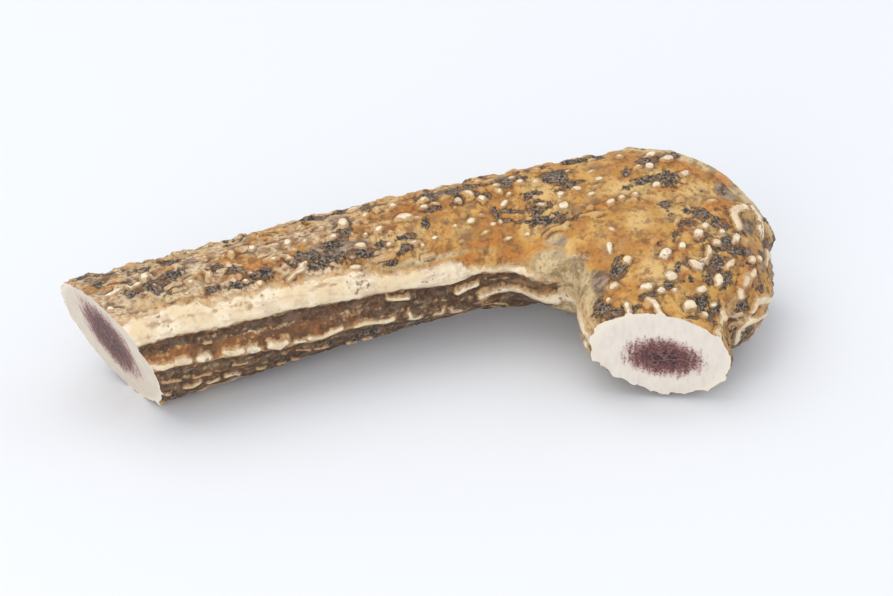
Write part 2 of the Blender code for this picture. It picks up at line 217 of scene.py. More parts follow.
def within(value, low, full, fading, gone):
    """Rises from 0 at low to 1 at full, and falls back from fading to gone."""
    return ease(value, low, full) * (1 - ease(value, fading, gone))


def bell(value, middle, width):
    """1 at the middle, falling softly to both sides."""
    return np.exp(-(((value - middle) / width) ** 2))


def bearings_round(line, along, across):
    """Degrees round a limb's middle line, counted from the top."""
    stations, middles, heights = np.array(line).T * MM
    return np.degrees(np.arctan2(np.interp(along, stations, middles) - across,
                                 z - np.interp(along, stations, heights)))


points = read_vectors(skin.data, "co")
normals = read_vectors(skin.data, "normal")
x, y, z = points.T
beam_bearing = bearings_round(BEAM_LINE, x, y)
groove = beam_bearing - GROOVE_TURN * (x - TURN_START)
tine_bearing = bearings_round(TINE_LINE, y, x)
on_tine = ease(x, 0.022, 0.030) * ease(-y, -0.004, 0.006)
off_fork = ease(np.linalg.norm(points - FORK_TOP, axis=1), 0.009, 0.016)
print("bearings on", len(points), "points")

# %% [markdown]
# ## Noise and layers
#
# No two marks on antler are alike, so noise of a few grains frays their outlines. All that is made
# on the skin goes into layers: one for the height, and one for each colour that the material
# needs later. Where two marks meet, the stronger one wins, so that nothing piles up.

# %% Noises, and a way to lay something on a layer
def noise_at(places, grain, stretch=1.0, shift=0.0):
    """Smooth noise between -1 and 1, with a grain in metres that may be stretched along X."""
    scaled = places / (grain * np.array([stretch, 1, 1])) + shift
    return np.array([noise.noise(place) for place in scaled.tolist()])


def crevices_at(places, grain, stretch):
    """0 on the borders between cells of a size in metres, growing towards their middles."""
    scaled = places / (grain * np.array([stretch, 1, 1]))
    distances = np.array([noise.voronoi(place)[0][:2] for place in scaled.tolist()])
    return distances[:, 1] - distances[:, 0]


def lay(name, amount, where=slice(None)):
    """Lays an amount on a layer wherever it is more than what lies there."""
    layers[name][where] = np.maximum(layers[name][where], amount)


LAYERS = ("rise", "cream", "stain", "crust", "dark", "blot", "grey", "orange", "beige")
layers = {name: np.zeros(len(points)) for name in LAYERS}
wander = noise_at(points, 0.0011)
wander_wide = noise_at(points, 0.0024, 1.0, 11.0)
nibble = noise_at(points, 0.0007, 1.0, 9.0)
broad = noise_at(points, 0.0050, 2.0, 7.0)
print("layers", list(layers))

# %% [markdown]
# ## Pearls
#
# The pearls are the bony studs that make this antler what it is. Each is a steep little dome, often
# longer than it is wide, polished to cream on top and stained brown at its foot. Those on the top
# are placed one by one, since they are what one knows the piece by, and smaller ones are strewn
# between them and on the back. A dome is raised on the fine skin by moving its vertices along
# their normals, as a sculptor's brush would.

# %% The pearls of the top: x, y, length, width, bearing of the length in degrees, how cream it is
PEARLS = [
    (-77.2, 8.8, 2.2, 1.6, 0, 1), (-74.5, 13, 6, 1.6, 25, 0.9), (-69.5, 14, 4, 1.4, 10, 0.9),
    (-67.5, 15.8, 2.8, 2.2, 80, 1), (-62, 10.4, 2.2, 1.4, 0, 0.6), (-58, 11.2, 2.6, 1.6, 20, 0.8),
    (-59.5, 16.5, 2.2, 1.5, 0, 0.4), (-53.5, 12, 3.4, 1.6, 70, 0.8), (-53, 18, 2.2, 2, 0, 0.7),
    (-50, 12.2, 2, 1.4, 0, 0.7), (-47, 16.5, 3.2, 2.4, 75, 0.9), (-46, 9, 2, 1.4, -20, 0.9),
    (-43, 7.8, 2.4, 1.8, 0, 1), (-41.8, 17.2, 2.2, 1.8, 30, 1), (-38, 12.6, 3.8, 1.4, 5, 0.8),
    (-36.3, 16.4, 1.8, 1.6, 0, 1), (-34.5, 12, 2.4, 1.2, -10, 0.8), (-33.7, 16, 2.4, 2, 60, 1),
    (-33, 8.8, 4.8, 1.4, 20, 1), (-29.8, 15.6, 2.2, 1.8, 45, 0.9), (-29, 18.4, 2, 1.6, 0, 0.7),
    (-24.8, 18.8, 2.2, 1.8, 0, 0.8), (-23, 14.8, 3.2, 1.8, 15, 0.8), (-20.3, 7.6, 3.4, 1.6, 0, 1),
    (-19.8, 18.2, 3.6, 2.4, 75, 1), (-17.7, 11.4, 3.4, 1.8, -15, 1), (-14, 19.6, 2.4, 2, 40, 0.8),
    (-12.3, 14.2, 3.6, 1.8, 25, 0.9), (-10.5, 21.2, 2.2, 1.8, 60, 0.7), (-6.6, 20.8, 2.4, 2.2, 0, 0.8),
    (-5.7, 15.8, 5.2, 2.4, -8, 0.9), (-4.9, 10, 3.6, 1.4, -5, 0.7), (0, 10, 1.8, 1.2, 0, 1),
    (0.2, 18.2, 2.4, 1.8, 0, 0.9), (1, 20.4, 3, 2, 20, 0.8), (2.8, 17.8, 3.4, 2, -10, 0.6),
    (8.2, 13.3, 2, 1.8, 0, 0.3), (8.6, 17.6, 2.4, 2, -20, 0.9), (9.7, 11.5, 2.6, 1.8, 0, 1),
    (11.8, 19, 3, 2.2, -50, 0.9), (14, 16.2, 3, 2, -50, 0.9), (14.4, 10, 2, 1.2, 0, 1),
    (17.3, 7, 2.8, 1.2, 0, 0.9), (18.6, 13.8, 3, 1.4, 30, 0.9), (18.7, 19.8, 2.4, 1.8, 0, 0.8),
    (19, 17.6, 2.6, 1.8, -30, 0.8), (21.8, 6.6, 2, 1.2, 0, 1), (23, 9, 3.4, 1.4, 0, 0.4),
    (24.5, 19, 2.4, 1.8, 0, 0.8), (28, 17.4, 3, 1.8, 15, 0.7), (30, 3.4, 2.4, 1.8, -40, 0.6),
    (32, 9.5, 2.8, 2, 0, 1), (32.5, 12.5, 2.2, 1.6, 0, 1), (36.6, 12.8, 2.8, 1.5, -15, 1),
    (37.4, 6.2, 2.4, 2, 0, 0.3), (37.8, 3.2, 3.4, 2, 0, 0.4), (42.2, 5.6, 2.8, 2.2, 20, 0.8),
    (42.8, 13.8, 2.8, 1.5, 0, 0.9), (45.4, 6.5, 2.2, 1.8, 30, 0.8), (48, 4.8, 1.8, 1.6, 0, 0.5),
    (48.8, 6.3, 2.2, 2, 0, 0.7), (51.3, 20.6, 2.4, 1.8, 0, 0.7), (53.2, 15, 2.4, 1.4, 10, 0.7),
    (55, 8.3, 2.8, 1.8, 40, 1), (55.8, 14, 2.6, 2.4, 60, 1), (58.3, 18.6, 3.4, 1.8, 10, 1),
    (59, 2.4, 2.4, 2, 0, 0.4), (61.3, 15.5, 3.4, 2, 0, 1), (63.4, 10.1, 3, 1.6, 5, 0.9),
    (66.8, 1.7, 3.6, 1.4, 5, 0.8), (39, -2.6, 2.2, 1.3, -40, 0.9), (37, -6.6, 3.4, 1.7, 75, 1),
    (39.3, -11.7, 2.8, 2.2, 35, 1), (34.1, -16.6, 2.5, 1.9, 15, 1), (31.6, -19.2, 1.8, 1.6, 0, 0.9),
    (34.4, -23.2, 2.4, 1.4, 80, 1), (54.8, -4.6, 4.2, 1.4, 45, 0.5), (46.7, -9.5, 2.5, 2.1, 0, 0.1),
    (47.8, -14, 3.8, 2.5, 40, 1), (52.4, -9.6, 2.8, 1.6, 60, 0), (52.6, -12.5, 2.8, 1.9, 60, 1),
    (58, -9.4, 3.4, 2.4, 50, 1), (61.1, -6.7, 2.4, 2, 30, 1), (64.8, -8.3, 2.5, 1.8, 60, 1),
    (68.1, -9.5, 4.4, 1.8, 45, 1), (61.6, -12.2, 2.6, 2.2, 30, 1), (53.5, -18.3, 3.6, 2.2, 115, 1),
    (56.2, -17, 3.6, 1.4, 20, 0.9), (58.8, -14.5, 4, 1.4, 65, 0.9), (62.8, -17.7, 5.6, 1.5, 38, 1),
    (40, -20.9, 3.4, 2.4, 15, 1), (46.6, -20.2, 3.2, 2.5, -20, 1), (43, -22.7, 2.1, 1.8, 0, 1),
    (46.2, -23.1, 1.9, 1.7, 0, 0.9), (57.8, -22, 3.6, 2, 75, 1), (52.8, -23.4, 3.2, 1.9, 20, 1),
    (55.2, -25.4, 2.2, 1.5, 20, 1), (48, -27.3, 3.4, 2.7, 20, 1), (51.2, -29, 2.2, 1.9, 40, 1),
    (57.4, -26.7, 3.4, 2, 45, 1), (62.5, -24.4, 2.4, 1.3, 20, 0.9), (38.4, -25.6, 2.6, 2.2, 0, 0.3),
    (40.2, -25.8, 3.8, 1.6, 80, 1), (69.7, -15, 3.6, 2, 40, 1), (72.5, -13, 3, 2, 20, 0.9),
    (68.3, -18.6, 5.6, 1.7, 45, 1), (64.9, -21.3, 4, 1.7, 45, 1), (62.5, -23.8, 2.6, 2, 80, 1),
    (77.3, -8, 5, 2, 55, 0.9), (57.1, -26.2, 3, 1.8, -60, 1), (53, -33, 3.4, 2, 60, 1),
]

# %% A way to raise a pearl
# The solids were moved by this much to stand over the origin, and the tables were drawn before that
CENTRED = np.array([0.00066, -0.00039, 0.00031])
PEARL_RISE = 0.33
FOOT = 0.0006


def vertex_on_top(px, py):
    """The vertex of the upper side that is nearest to a table's place seen from above."""
    away = np.hypot(x - (px * MM + CENTRED[0]), y - (py * MM + CENTRED[1]))
    return int(np.where(normals[:, 2] > 0.05, away, 1.0).argmin())


def tangent_places(spot, bearing, reach):
    """The vertices near a spot, and how far each is along and across a bearing in its plane."""
    place, normal = points[spot], Vector(normals[spot])
    near = np.flatnonzero(((points - place) ** 2).sum(1) < reach**2)
    way = Vector((math.cos(bearing), math.sin(bearing), 0))
    way = (way - normal * way.dot(normal)).normalized()
    away = points[near] - place
    return near, away @ np.array(way), away @ np.array(normal.cross(way))


def raise_pearl(spot, bearing, length, width, tint):
    """Raises a dome at a vertex, tints its top and stains the skin round it."""
    near, along, across = tangent_places(spot, bearing, length * 1.6)
    wobble = 1.08 + 0.30 * wander[near] + 0.10 * wander_wide[near] + 0.30 * nibble[near]
    out = np.hypot(along / (length / 2), across / (width / 2)) * wobble
    lay("rise", width * PEARL_RISE * np.clip(1 - out**3, 0, None) ** 0.5, near)
    clean = np.interp(x[spot], [-0.03, 0.04], [1.36, 1.58])
    lay("cream", tint * (clean - out) + 0.32 * nibble[near], near)
    foot = np.hypot(along / (length / 2 + FOOT), across / (width / 2 + FOOT))
    one_sided = ease(wander[near] + 0.4 * along / length, -0.3, 0.4)
    lay("stain", bell(foot, 1.05, 0.35) * one_sided, near)


# %% Raise the pearls that were placed, and strew the others
SEED = 11
chance = np.random.default_rng(SEED)


def strew_pearls(where, count, spacing, slim, spread, turn, longer, brighter, on_bare=np.inf):
    """Raises pearls of chance sizes at chance places, no two of them nearer than a spacing."""
    placed = []
    for spot in chance.permutation(np.flatnonzero(where)):
        if len(placed) == count:
            break
        if layers["cream"][spot] < on_bare and all(np.linalg.norm(points[spot] - other) > spacing
                                                   for other in placed):
            placed.append(points[spot])
            width = slim + spread * chance.random()
            raise_pearl(spot, math.radians(turn * (chance.random() - 0.5)),
                        width * (1 + longer * chance.random()), width,
                        0.4 + brighter * chance.random())
    return len(placed)


for px, py, length, width, bearing, tint in PEARLS:
    raise_pearl(vertex_on_top(px, py), math.radians(bearing), length * MM, width * MM, tint)
strewn = strew_pearls((normals[:, 2] > -0.25) & (y > 0.0225), count=70, spacing=0.0052, slim=0.0016,
                      spread=0.0010, turn=50, longer=0.9, brighter=0.7)
strewn += strew_pearls((normals[:, 2] > 0.25) & (y > 0.0075) & (x < 0.046), count=110, spacing=0.0026,
                       slim=0.0009, spread=0.0006, turn=60, longer=1.2, brighter=0.6, on_bare=0.1)
print("pearls", len(PEARLS) + strewn)

# %% [markdown]
# ## The smooth ridge
#
# Along the front of the beam runs one broad ridge, worn smooth and cream. Its upper and lower edges
# are given as heights along the beam. Noise lets them wander, and swells the ridge here and there.

# %% The ridge: x, and the heights of its foot and its top
RIDGE = [
    (-85, 22.2, 27.6), (-72, 22.3, 27.6), (-65, 23, 28.3), (-60, 22.7, 28.2), (-55, 22.3, 27.5),
    (-50, 22.4, 27.6), (-45, 22.4, 27.2), (-40, 22.6, 28.2), (-35, 22.4, 27.4), (-30, 22, 27.6),
    (-25, 21.7, 27.2), (-20, 21.5, 27.5), (-15, 21.4, 25.8), (-10, 21, 25.6), (-5, 20.5, 25.3),
    (0, 19.6, 25.4), (5, 20.3, 25), (6.2, 20.8, 23.4), (10, 21.2, 23.2), (15, 20.2, 22.2),
    (20, 19.6, 21.8), (24, 18.8, 21.2), (30, 18, 20),
]

# %% Raise the ridge
station_x, station_z = x - CENTRED[0], z - CENTRED[2]
ridge_x, ridge_foot, ridge_top = np.array(RIDGE).T * MM
foot_height = np.interp(station_x, ridge_x, ridge_foot)
top_height = np.interp(station_x, ridge_x, ridge_top)
on_front = ease(-y, -0.019, -0.015) * ease(-x, -0.031, -0.024)
under_top = top_height - station_z + 0.0007 * wander_wide + 0.0003 * wander
over_foot = station_z - foot_height + 0.0004 * (wander_wide + broad) + 0.0002 * wander
swell = 0.0007 + 0.0002 * (wander_wide + broad)
lay("rise", swell * ease(under_top, -0.0006, 0.0022) * ease(over_foot, -0.0002, 0.0010) * on_front)
inside = np.minimum(under_top / 0.0020, over_foot / 0.0010)
lay("cream", np.minimum(0.55 + inside, 1.25 + 0.5 * broad) * on_front)
print("ridge over", int((on_front > 0.5).sum()), "points of the front")

# %% [markdown]
# ## The first ledge
#
# Below the ridge the skin falls in ledges: dark and rough close under the ridge, then swelling
# orange-brown towards a scalloped cream lip, with a hollow under the lip that is painted dark,
# partly as painted shade.

# %% The first ledge's lip: x and height
LIP = [
    (-80, 15.8), (-65, 16.3), (-57, 15.7), (-50, 14.9), (-45, 14.3), (-40.5, 13.1), (-36, 13.9),
    (-30, 12.9), (-25, 14.2), (-20, 13.9), (-13, 12.8), (-5, 11.2), (0, 10.8), (5, 9.9), (12, 10.2),
    (18, 6.5), (30, 3),
]

# %% Raise the first ledge, with its lip and the hollows above and below it
LEDGE_RISE = 0.00055
TRENCH = 0.0003
lip_x, lip_z = np.array(LIP).T * MM
lip = np.interp(station_x, lip_x, lip_z)
drop = (foot_height - station_z) / np.maximum(foot_height - lip, 0.001)
under_lip = lip - station_z + 0.0003 * wander_wide
ledge = LEDGE_RISE * ease(drop, 0.25, 0.95) * (1 - ease(under_lip, -0.0001, 0.0004))
trench = TRENCH * (within(drop, 0.0, 0.12, 0.2, 0.5) + within(under_lip, 0.0, 0.0005, 0.0008, 0.0022))
lay("rise", ledge * on_front)
layers["rise"] -= trench * on_front * (station_z > lip - 0.004)
lip_cream = bell(drop, 0.93, 0.13) * on_front * ease(-station_x, -0.004, 0.010)
lay("cream", lip_cream * (0.42 + 0.45 * wander_wide + 0.2 * wander))
print("first lip at", round(float(lip.min()) * 1000, 1), "to", round(float(lip.max()) * 1000, 1), "mm")

# %% [markdown]
# ## Strokes
#
# Many of the cream marks aren't round: the ledges have scalloped lips, a pale strip crosses the
# fork's web to the tine's rim, and low worms of bone curl over the thin end. Each is drawn as a
# short path, seen from the front, the left or above, and raised as a rounded stroke along it.
# A little noise keeps the outline from looking drawn.

# %% Strokes on the beam's front: half width, how cream it is, and the path's x and z
FRONT_STROKES = [
    (0.9, 0.9, (-72, 17.8), (-69, 17), (-66.2, 16.8)), (0.8, 1, (-64.8, 17), (-62.2, 16.9)),
    (0.9, 1, (-60, 16.7), (-57.7, 16.4)), (0.9, 1, (-53.8, 16.6), (-51.5, 15.9), (-49.7, 16)),
    (1, 1, (-47.9, 15.7), (-45.6, 15.2)), (1.1, 1, (-42.8, 15.4), (-40.6, 14.3), (-39, 15.1)),
    (0.5, 0.8, (-37, 14.6), (-34.2, 14.2)),
    (0.7, 1, (-33.4, 14.6), (-30, 13.6), (-27.4, 14.4), (-25.4, 14.9)),
    (0.6, 0.9, (-22, 14.4), (-19, 14.6), (-17, 14.2)),
    (0.7, 1, (-17.2, 14.2), (-14.2, 13.4), (-12.5, 13.8)),
    (0.7, 1, (-8.4, 14.4), (-8, 12.9), (-6.7, 11.9), (-5.3, 12.2)),
    (0.7, 1, (-1.8, 11.9), (0.2, 11.5), (0.4, 12.8)), (0.7, 1, (2.2, 12.7), (3.2, 10.9), (5.4, 10.6)),
    (0.5, 0.7, (10.5, 11.3), (14, 10.6), (16.8, 9.4), (18.5, 7)),
    (0.7, 0.9, (-13.8, 20), (-12, 19.2), (-8.5, 18.7)), (0.8, 0.9, (3.6, 17), (6, 17.7), (8.6, 18.4)),
    (0.5, 0.6, (-58, 19.9), (-56.6, 19.7)), (0.6, 0.6, (-68.6, 12.6), (-64.5, 11.9)),
    (0.6, 0.7, (-61.2, 11.4), (-57.4, 11.3)), (0.5, 0.6, (-51.6, 12), (-48.5, 11.8)),
    (0.5, 0.6, (-36, 11), (-33, 10.3)), (0.6, 0.7, (-31.2, 9.4), (-28, 9)),
    (0.7, 0.8, (-69, 8.5), (-66.8, 7.2)), (0.8, 0.9, (-63.2, 8.7), (-61.4, 8), (-59.6, 9.1)),
    (0.8, 0.8, (-57.5, 7.8), (-55.2, 8.3)), (0.9, 0.9, (-53.2, 8.8), (-51, 8.6), (-50, 7.8)),
    (0.7, 0.8, (-45.6, 8), (-43.6, 7.4)), (0.6, 0.6, (-40.5, 7.8), (-38.8, 7.6)),
    (0.6, 0.7, (-36.8, 7.4), (-35.2, 7)), (0.7, 0.8, (-22.8, 7.6), (-20.6, 7)),
    (0.7, 0.8, (-18.8, 7.4), (-16.6, 7)), (0.5, 0.6, (-14.2, 7.8), (-13.2, 7.4)),
    (0.6, 0.8, (-69, 2.2), (-64, 2), (-61, 2.3)), (0.6, 0.7, (-57, 2.4), (-51, 2.6), (-47, 3.1)),
    (0.5, 0.6, (-30, 3), (-24, 3.4)), (0.5, 0.7, (-15, 4.1), (-11, 4.4)), (0.5, 0.6, (4, 4.9), (10, 5)),
    (1.2, 0.8, (9.6, 14.4), (14, 15.4), (16.8, 15.3), (19.9, 14.7), (23.1, 13.5), (26.8, 12.8)),
]

# %% Strokes on the head's right flank, seen from the front, and on the web, seen from the left
FLANK_STROKES = [
    (1, 0.9, (72, 15), (69.5, 16.8), (67.3, 17.7), (65.5, 16.8)),
    (0.9, 0.9, (74, 11.2), (69.2, 13.3), (64.4, 15.1), (61.8, 13), (61.2, 9.2)),
    (0.8, 0.8, (75, 9), (71.5, 10), (68, 10.8)), (0.8, 0.7, (73, 5), (69, 6.6), (66, 7)),
    (0.7, 0.8, (79, 16.5), (77, 18.8), (75, 19)),
]
WEB_STROKE = (1.9, 0.85, (3.6, 13.1), (-2, 14), (-8, 16), (-14.7, 17.2), (-19, 16), (-27, 15))

# %% Strokes seen from above: half width, how cream it is, and the path's x and y
TOP_STROKES = [
    (0.6, 0.9, (-77.8, 12.2), (-75.2, 12.7), (-74.4, 14.5), (-72.6, 14.6), (-71.6, 13.2), (-69.6, 13.8)),
    (1, 0.8, (-67.8, 15), (-66.8, 17.2)), (0.5, 0.6, (-77, 16.8), (-74.8, 17.6), (-72.2, 17.2)),
    (0.5, 0.7, (-64, 11.1), (-61.6, 12)), (0.5, 0.7, (-59.2, 11.8), (-57, 12.7)),
    (0.5, 0.7, (-54.6, 14), (-53.8, 12.6), (-54.3, 10.8)), (0.4, 0.7, (-51.2, 12.8), (-49.2, 12.6)),
    (0.5, 0.8, (-40.3, 12.8), (-37.8, 13.7), (-34.6, 12.6)),
    (0.6, 0.9, (-36.2, 7.6), (-33.2, 9.2), (-31.2, 10.4)),
    (0.6, 0.8, (53.5, -17.2), (54.5, -18.6), (57, -16.8), (59, -13.2)),
    (1, 1, (39.2, -24), (40.2, -26.2), (40.4, -30)), (0.8, 0.9, (55.2, -29), (57.8, -25.6)),
    (0.7, 0.8, (52, -33), (54.5, -30.5)), (0.9, 0.9, (34.5, -23.5), (33.5, -26.5)),
    (0.5, 0.5, (38, 3.5), (36.2, 4.2), (34.5, 5.2)),
    (0.6, 0.5, (25.5, 4.8), (27.5, 5.2), (30, 4.2), (31.2, 5)), (0.5, 0.6, (-15, 8.4), (-10.5, 8.6)),
    (0.5, 0.6, (-4, 7.4), (-1.2, 7.5)),
    (1.2, 1.2, (75.5, 1.4), (73.4, 0.6), (71.4, -0.8), (70.6, -3), (70.4, -5.5)),
    (1, 1.2, (77.8, 2.2), (79, 0.4), (78.4, -1.8), (77.3, -3.6)),
]

# %% A way to raise a stroke along a path
FROM_FRONT, FROM_LEFT, FROM_ABOVE = [0, 2], [1, 2], [0, 1]


def raise_stroke(path, half_width, height, tint, plane, looks, upper):
    """Raises a rounded stroke along a path in a plane, on the vertices that look that way.

    Above the path the stroke is wider where upper is below 1, and runs out softly there.
    """
    path = np.array(path) * MM + CENTRED[plane]
    half_width = half_width * MM
    reach = 3 * half_width
    flat = points[:, plane]
    near = np.flatnonzero(looks & (flat > path.min(axis=0) - reach).all(axis=1)
                          & (flat < path.max(axis=0) + reach).all(axis=1))
    flat = flat[near]
    out = np.full(len(near), reach)
    above = np.zeros(len(near))
    for start, end in zip(path, path[1:]):
        way = end - start
        along = np.clip((flat - start) @ way / (way @ way), 0, 1)[:, None]
        away = flat - start - along * way
        away[:, 1] *= np.where(away[:, 1] > 0, upper, 1.0)
        gap = np.linalg.norm(away, axis=1)
        above = np.where(gap < out, away[:, 1], above)
        out = np.minimum(out, gap)
    out = out / half_width * (1 + 0.30 * wander[near] + 0.25 * nibble[near]) + 0.30 * wander_wide[near]
    soft = ease(above / half_width, 0.0, 0.5) * (upper < 1)
    lay("rise", height * np.clip(1 - out**2, 0, None) ** (0.6 + soft), near)
    lay("cream", tint * (1.45 - 0.43 * soft - (1 - 0.45 * soft) * out), near)
    lay("stain", 0.5 * bell(out, 1.5, 0.4) * (1 - soft), near)


# %% Raise the strokes
LOW_STROKES_TOP = 12.8
LOW_SHARE = 0.75
looks_front, looks_left, looks_up = normals[:, 1] < -0.02, normals[:, 0] < -0.02, normals[:, 2] > 0.05
STROKES = (
    (FRONT_STROKES, 0.0007, 1.0, FROM_FRONT, looks_front & (y < 0.02), 0.65),
    (FLANK_STROKES, 0.0007, 1.0, FROM_FRONT, looks_front & (y < -0.004), 0.8),
    ([WEB_STROKE], 0.0003, 1.0, FROM_LEFT, looks_left & (x > 0.022) & (x < 0.036), 0.8),
    (TOP_STROKES, 0.0006, 0.8, FROM_ABOVE, looks_up, 1.0),
)
for strokes, height, share, plane, looks, upper in STROKES:
    for half_width, tint, *path in strokes:
        weak = LOW_SHARE if strokes is FRONT_STROKES and path[0][1] < LOW_STROKES_TOP else 1.0
        raise_stroke(path, half_width, height * weak, share * tint * weak, plane, looks, upper)
print("strokes", sum(len(strokes) for strokes, *_ in STROKES))

# %% [markdown]
# ## Stains on the ridge
#
# Handling and old sap have left a few brown stains on the cream. They aren't raised, so they go
# into a layer of their own, which the material paints over the cream.

# %% Stains on the ridge: x, height, length and width
RIDGE_BLOTS = [
    (-69, 26, 4, 1.2), (-65.6, 26, 5, 0.8), (-70.5, 24.1, 1.6, 1.2), (-70, 23.3, 0.8, 0.7),
    (-61, 26.2, 5, 0.7), (-54.5, 26.1, 2.4, 0.8), (-46.6, 25.4, 1.8, 1.4), (-40.8, 25, 1.2, 0.9),
    (-49, 26.2, 6, 0.6), (-29.4, 26.2, 5, 0.9), (-26.2, 25.8, 3.4, 0.7), (-19.6, 26.2, 5, 0.8),
    (3.1, 21.6, 1, 0.6), (22.4, 20, 4, 3), (23.8, 16.4, 4, 3), (19, 17.6, 7, 1.6),
]
for px, pz, length, width in RIDGE_BLOTS:
    out = np.hypot((station_x - px * MM) / (length * MM / 2), (station_z - pz * MM) / (width * MM / 2))
    lay("blot", (1.5 - out * (1 + 0.4 * wander)) * on_front)
print("stains", len(RIDGE_BLOTS))

# %% [markdown]
# ## Rows of beads
#
# Such ledges go on under the beam and up its back, and along the sides of the tine. There they are
# rows of beads: each row swells slowly to a lip that carries longer and shorter beads, and falls
# off behind it. The rows turn slowly round the beam, so the bearing without the turn names a row.

# %% A way to raise a row
BEAD_LENGTH = 0.0050
BEAD_WIDTH = 0.0024
ROW_WIDTH = 0.0034
ROW_RISE = 0.00045


def around_to(bearings, bearing):
    """Degrees from a bearing to each of the bearings, between -180 and 180."""
    return np.mod(bearings - bearing + 180, 360) - 180


def raise_row(along, across, amount):
    """Raises one ledge with a lip of beads."""
    near = np.flatnonzero((np.abs(across) < ROW_WIDTH) & (amount > 0.01))
    along, amount = along[near], amount[near]
    across = across[near] + 0.0007 * wander_wide[near] + 0.0003 * wander[near]
    rise = ROW_RISE * ease(across, -ROW_WIDTH, -0.0003) * (1 - ease(across, 0.0, 0.0006))
    cream = np.zeros(len(near))
    start = along.min()
    while start < along.max():
        half_length = BEAD_LENGTH / 2 * (0.5 + 1.0 * chance.random())
        half_width = BEAD_WIDTH / 2 * (0.6 + 0.6 * chance.random())
        aside = 0.0008 * (chance.random() - 0.5)
        start += half_length
        out = np.hypot((along - start) / half_length, (across - aside) / half_width)
        height = 0.0006 + 0.0004 * chance.random()
        rise = np.maximum(rise, height * np.sqrt(np.clip(1 - out**2, 0, None)))
        cream = np.maximum(cream, (0.1 + 0.75 * chance.random()) * (1.4 - out))
        start += half_length * (1.0 + 0.8 * chance.random())
    lay("rise", rise * amount, near)
    lay("cream", cream * amount, near)


# %% Raise the rows that no one placed by hand
ROWS = range(131, 332, 14)
TINE_ROWS = range(84, 300, 21)
BEAM_RADIUS = 0.0151
TINE_RADIUS = 0.0180
TINE_SHARE = 0.7
below_front = 1 - on_front * ease(station_z, 0.003, 0.005)
off_top = 1 - ease(normals[:, 2], 0.15, 0.6) * (0.5 + 0.5 * ease(x, 0.015, 0.035))
for bearing in ROWS:
    raise_row(x, np.radians(around_to(groove, bearing)) * BEAM_RADIUS,
              off_fork * (1 - on_tine) * below_front * off_top)
for bearing in TINE_ROWS:
    raise_row(y, np.radians(around_to(tine_bearing, bearing)) * TINE_RADIUS,
              TINE_SHARE * off_fork * on_tine)
print("highest relief", round(float(layers["rise"].max()) * 1000, 2), "mm")
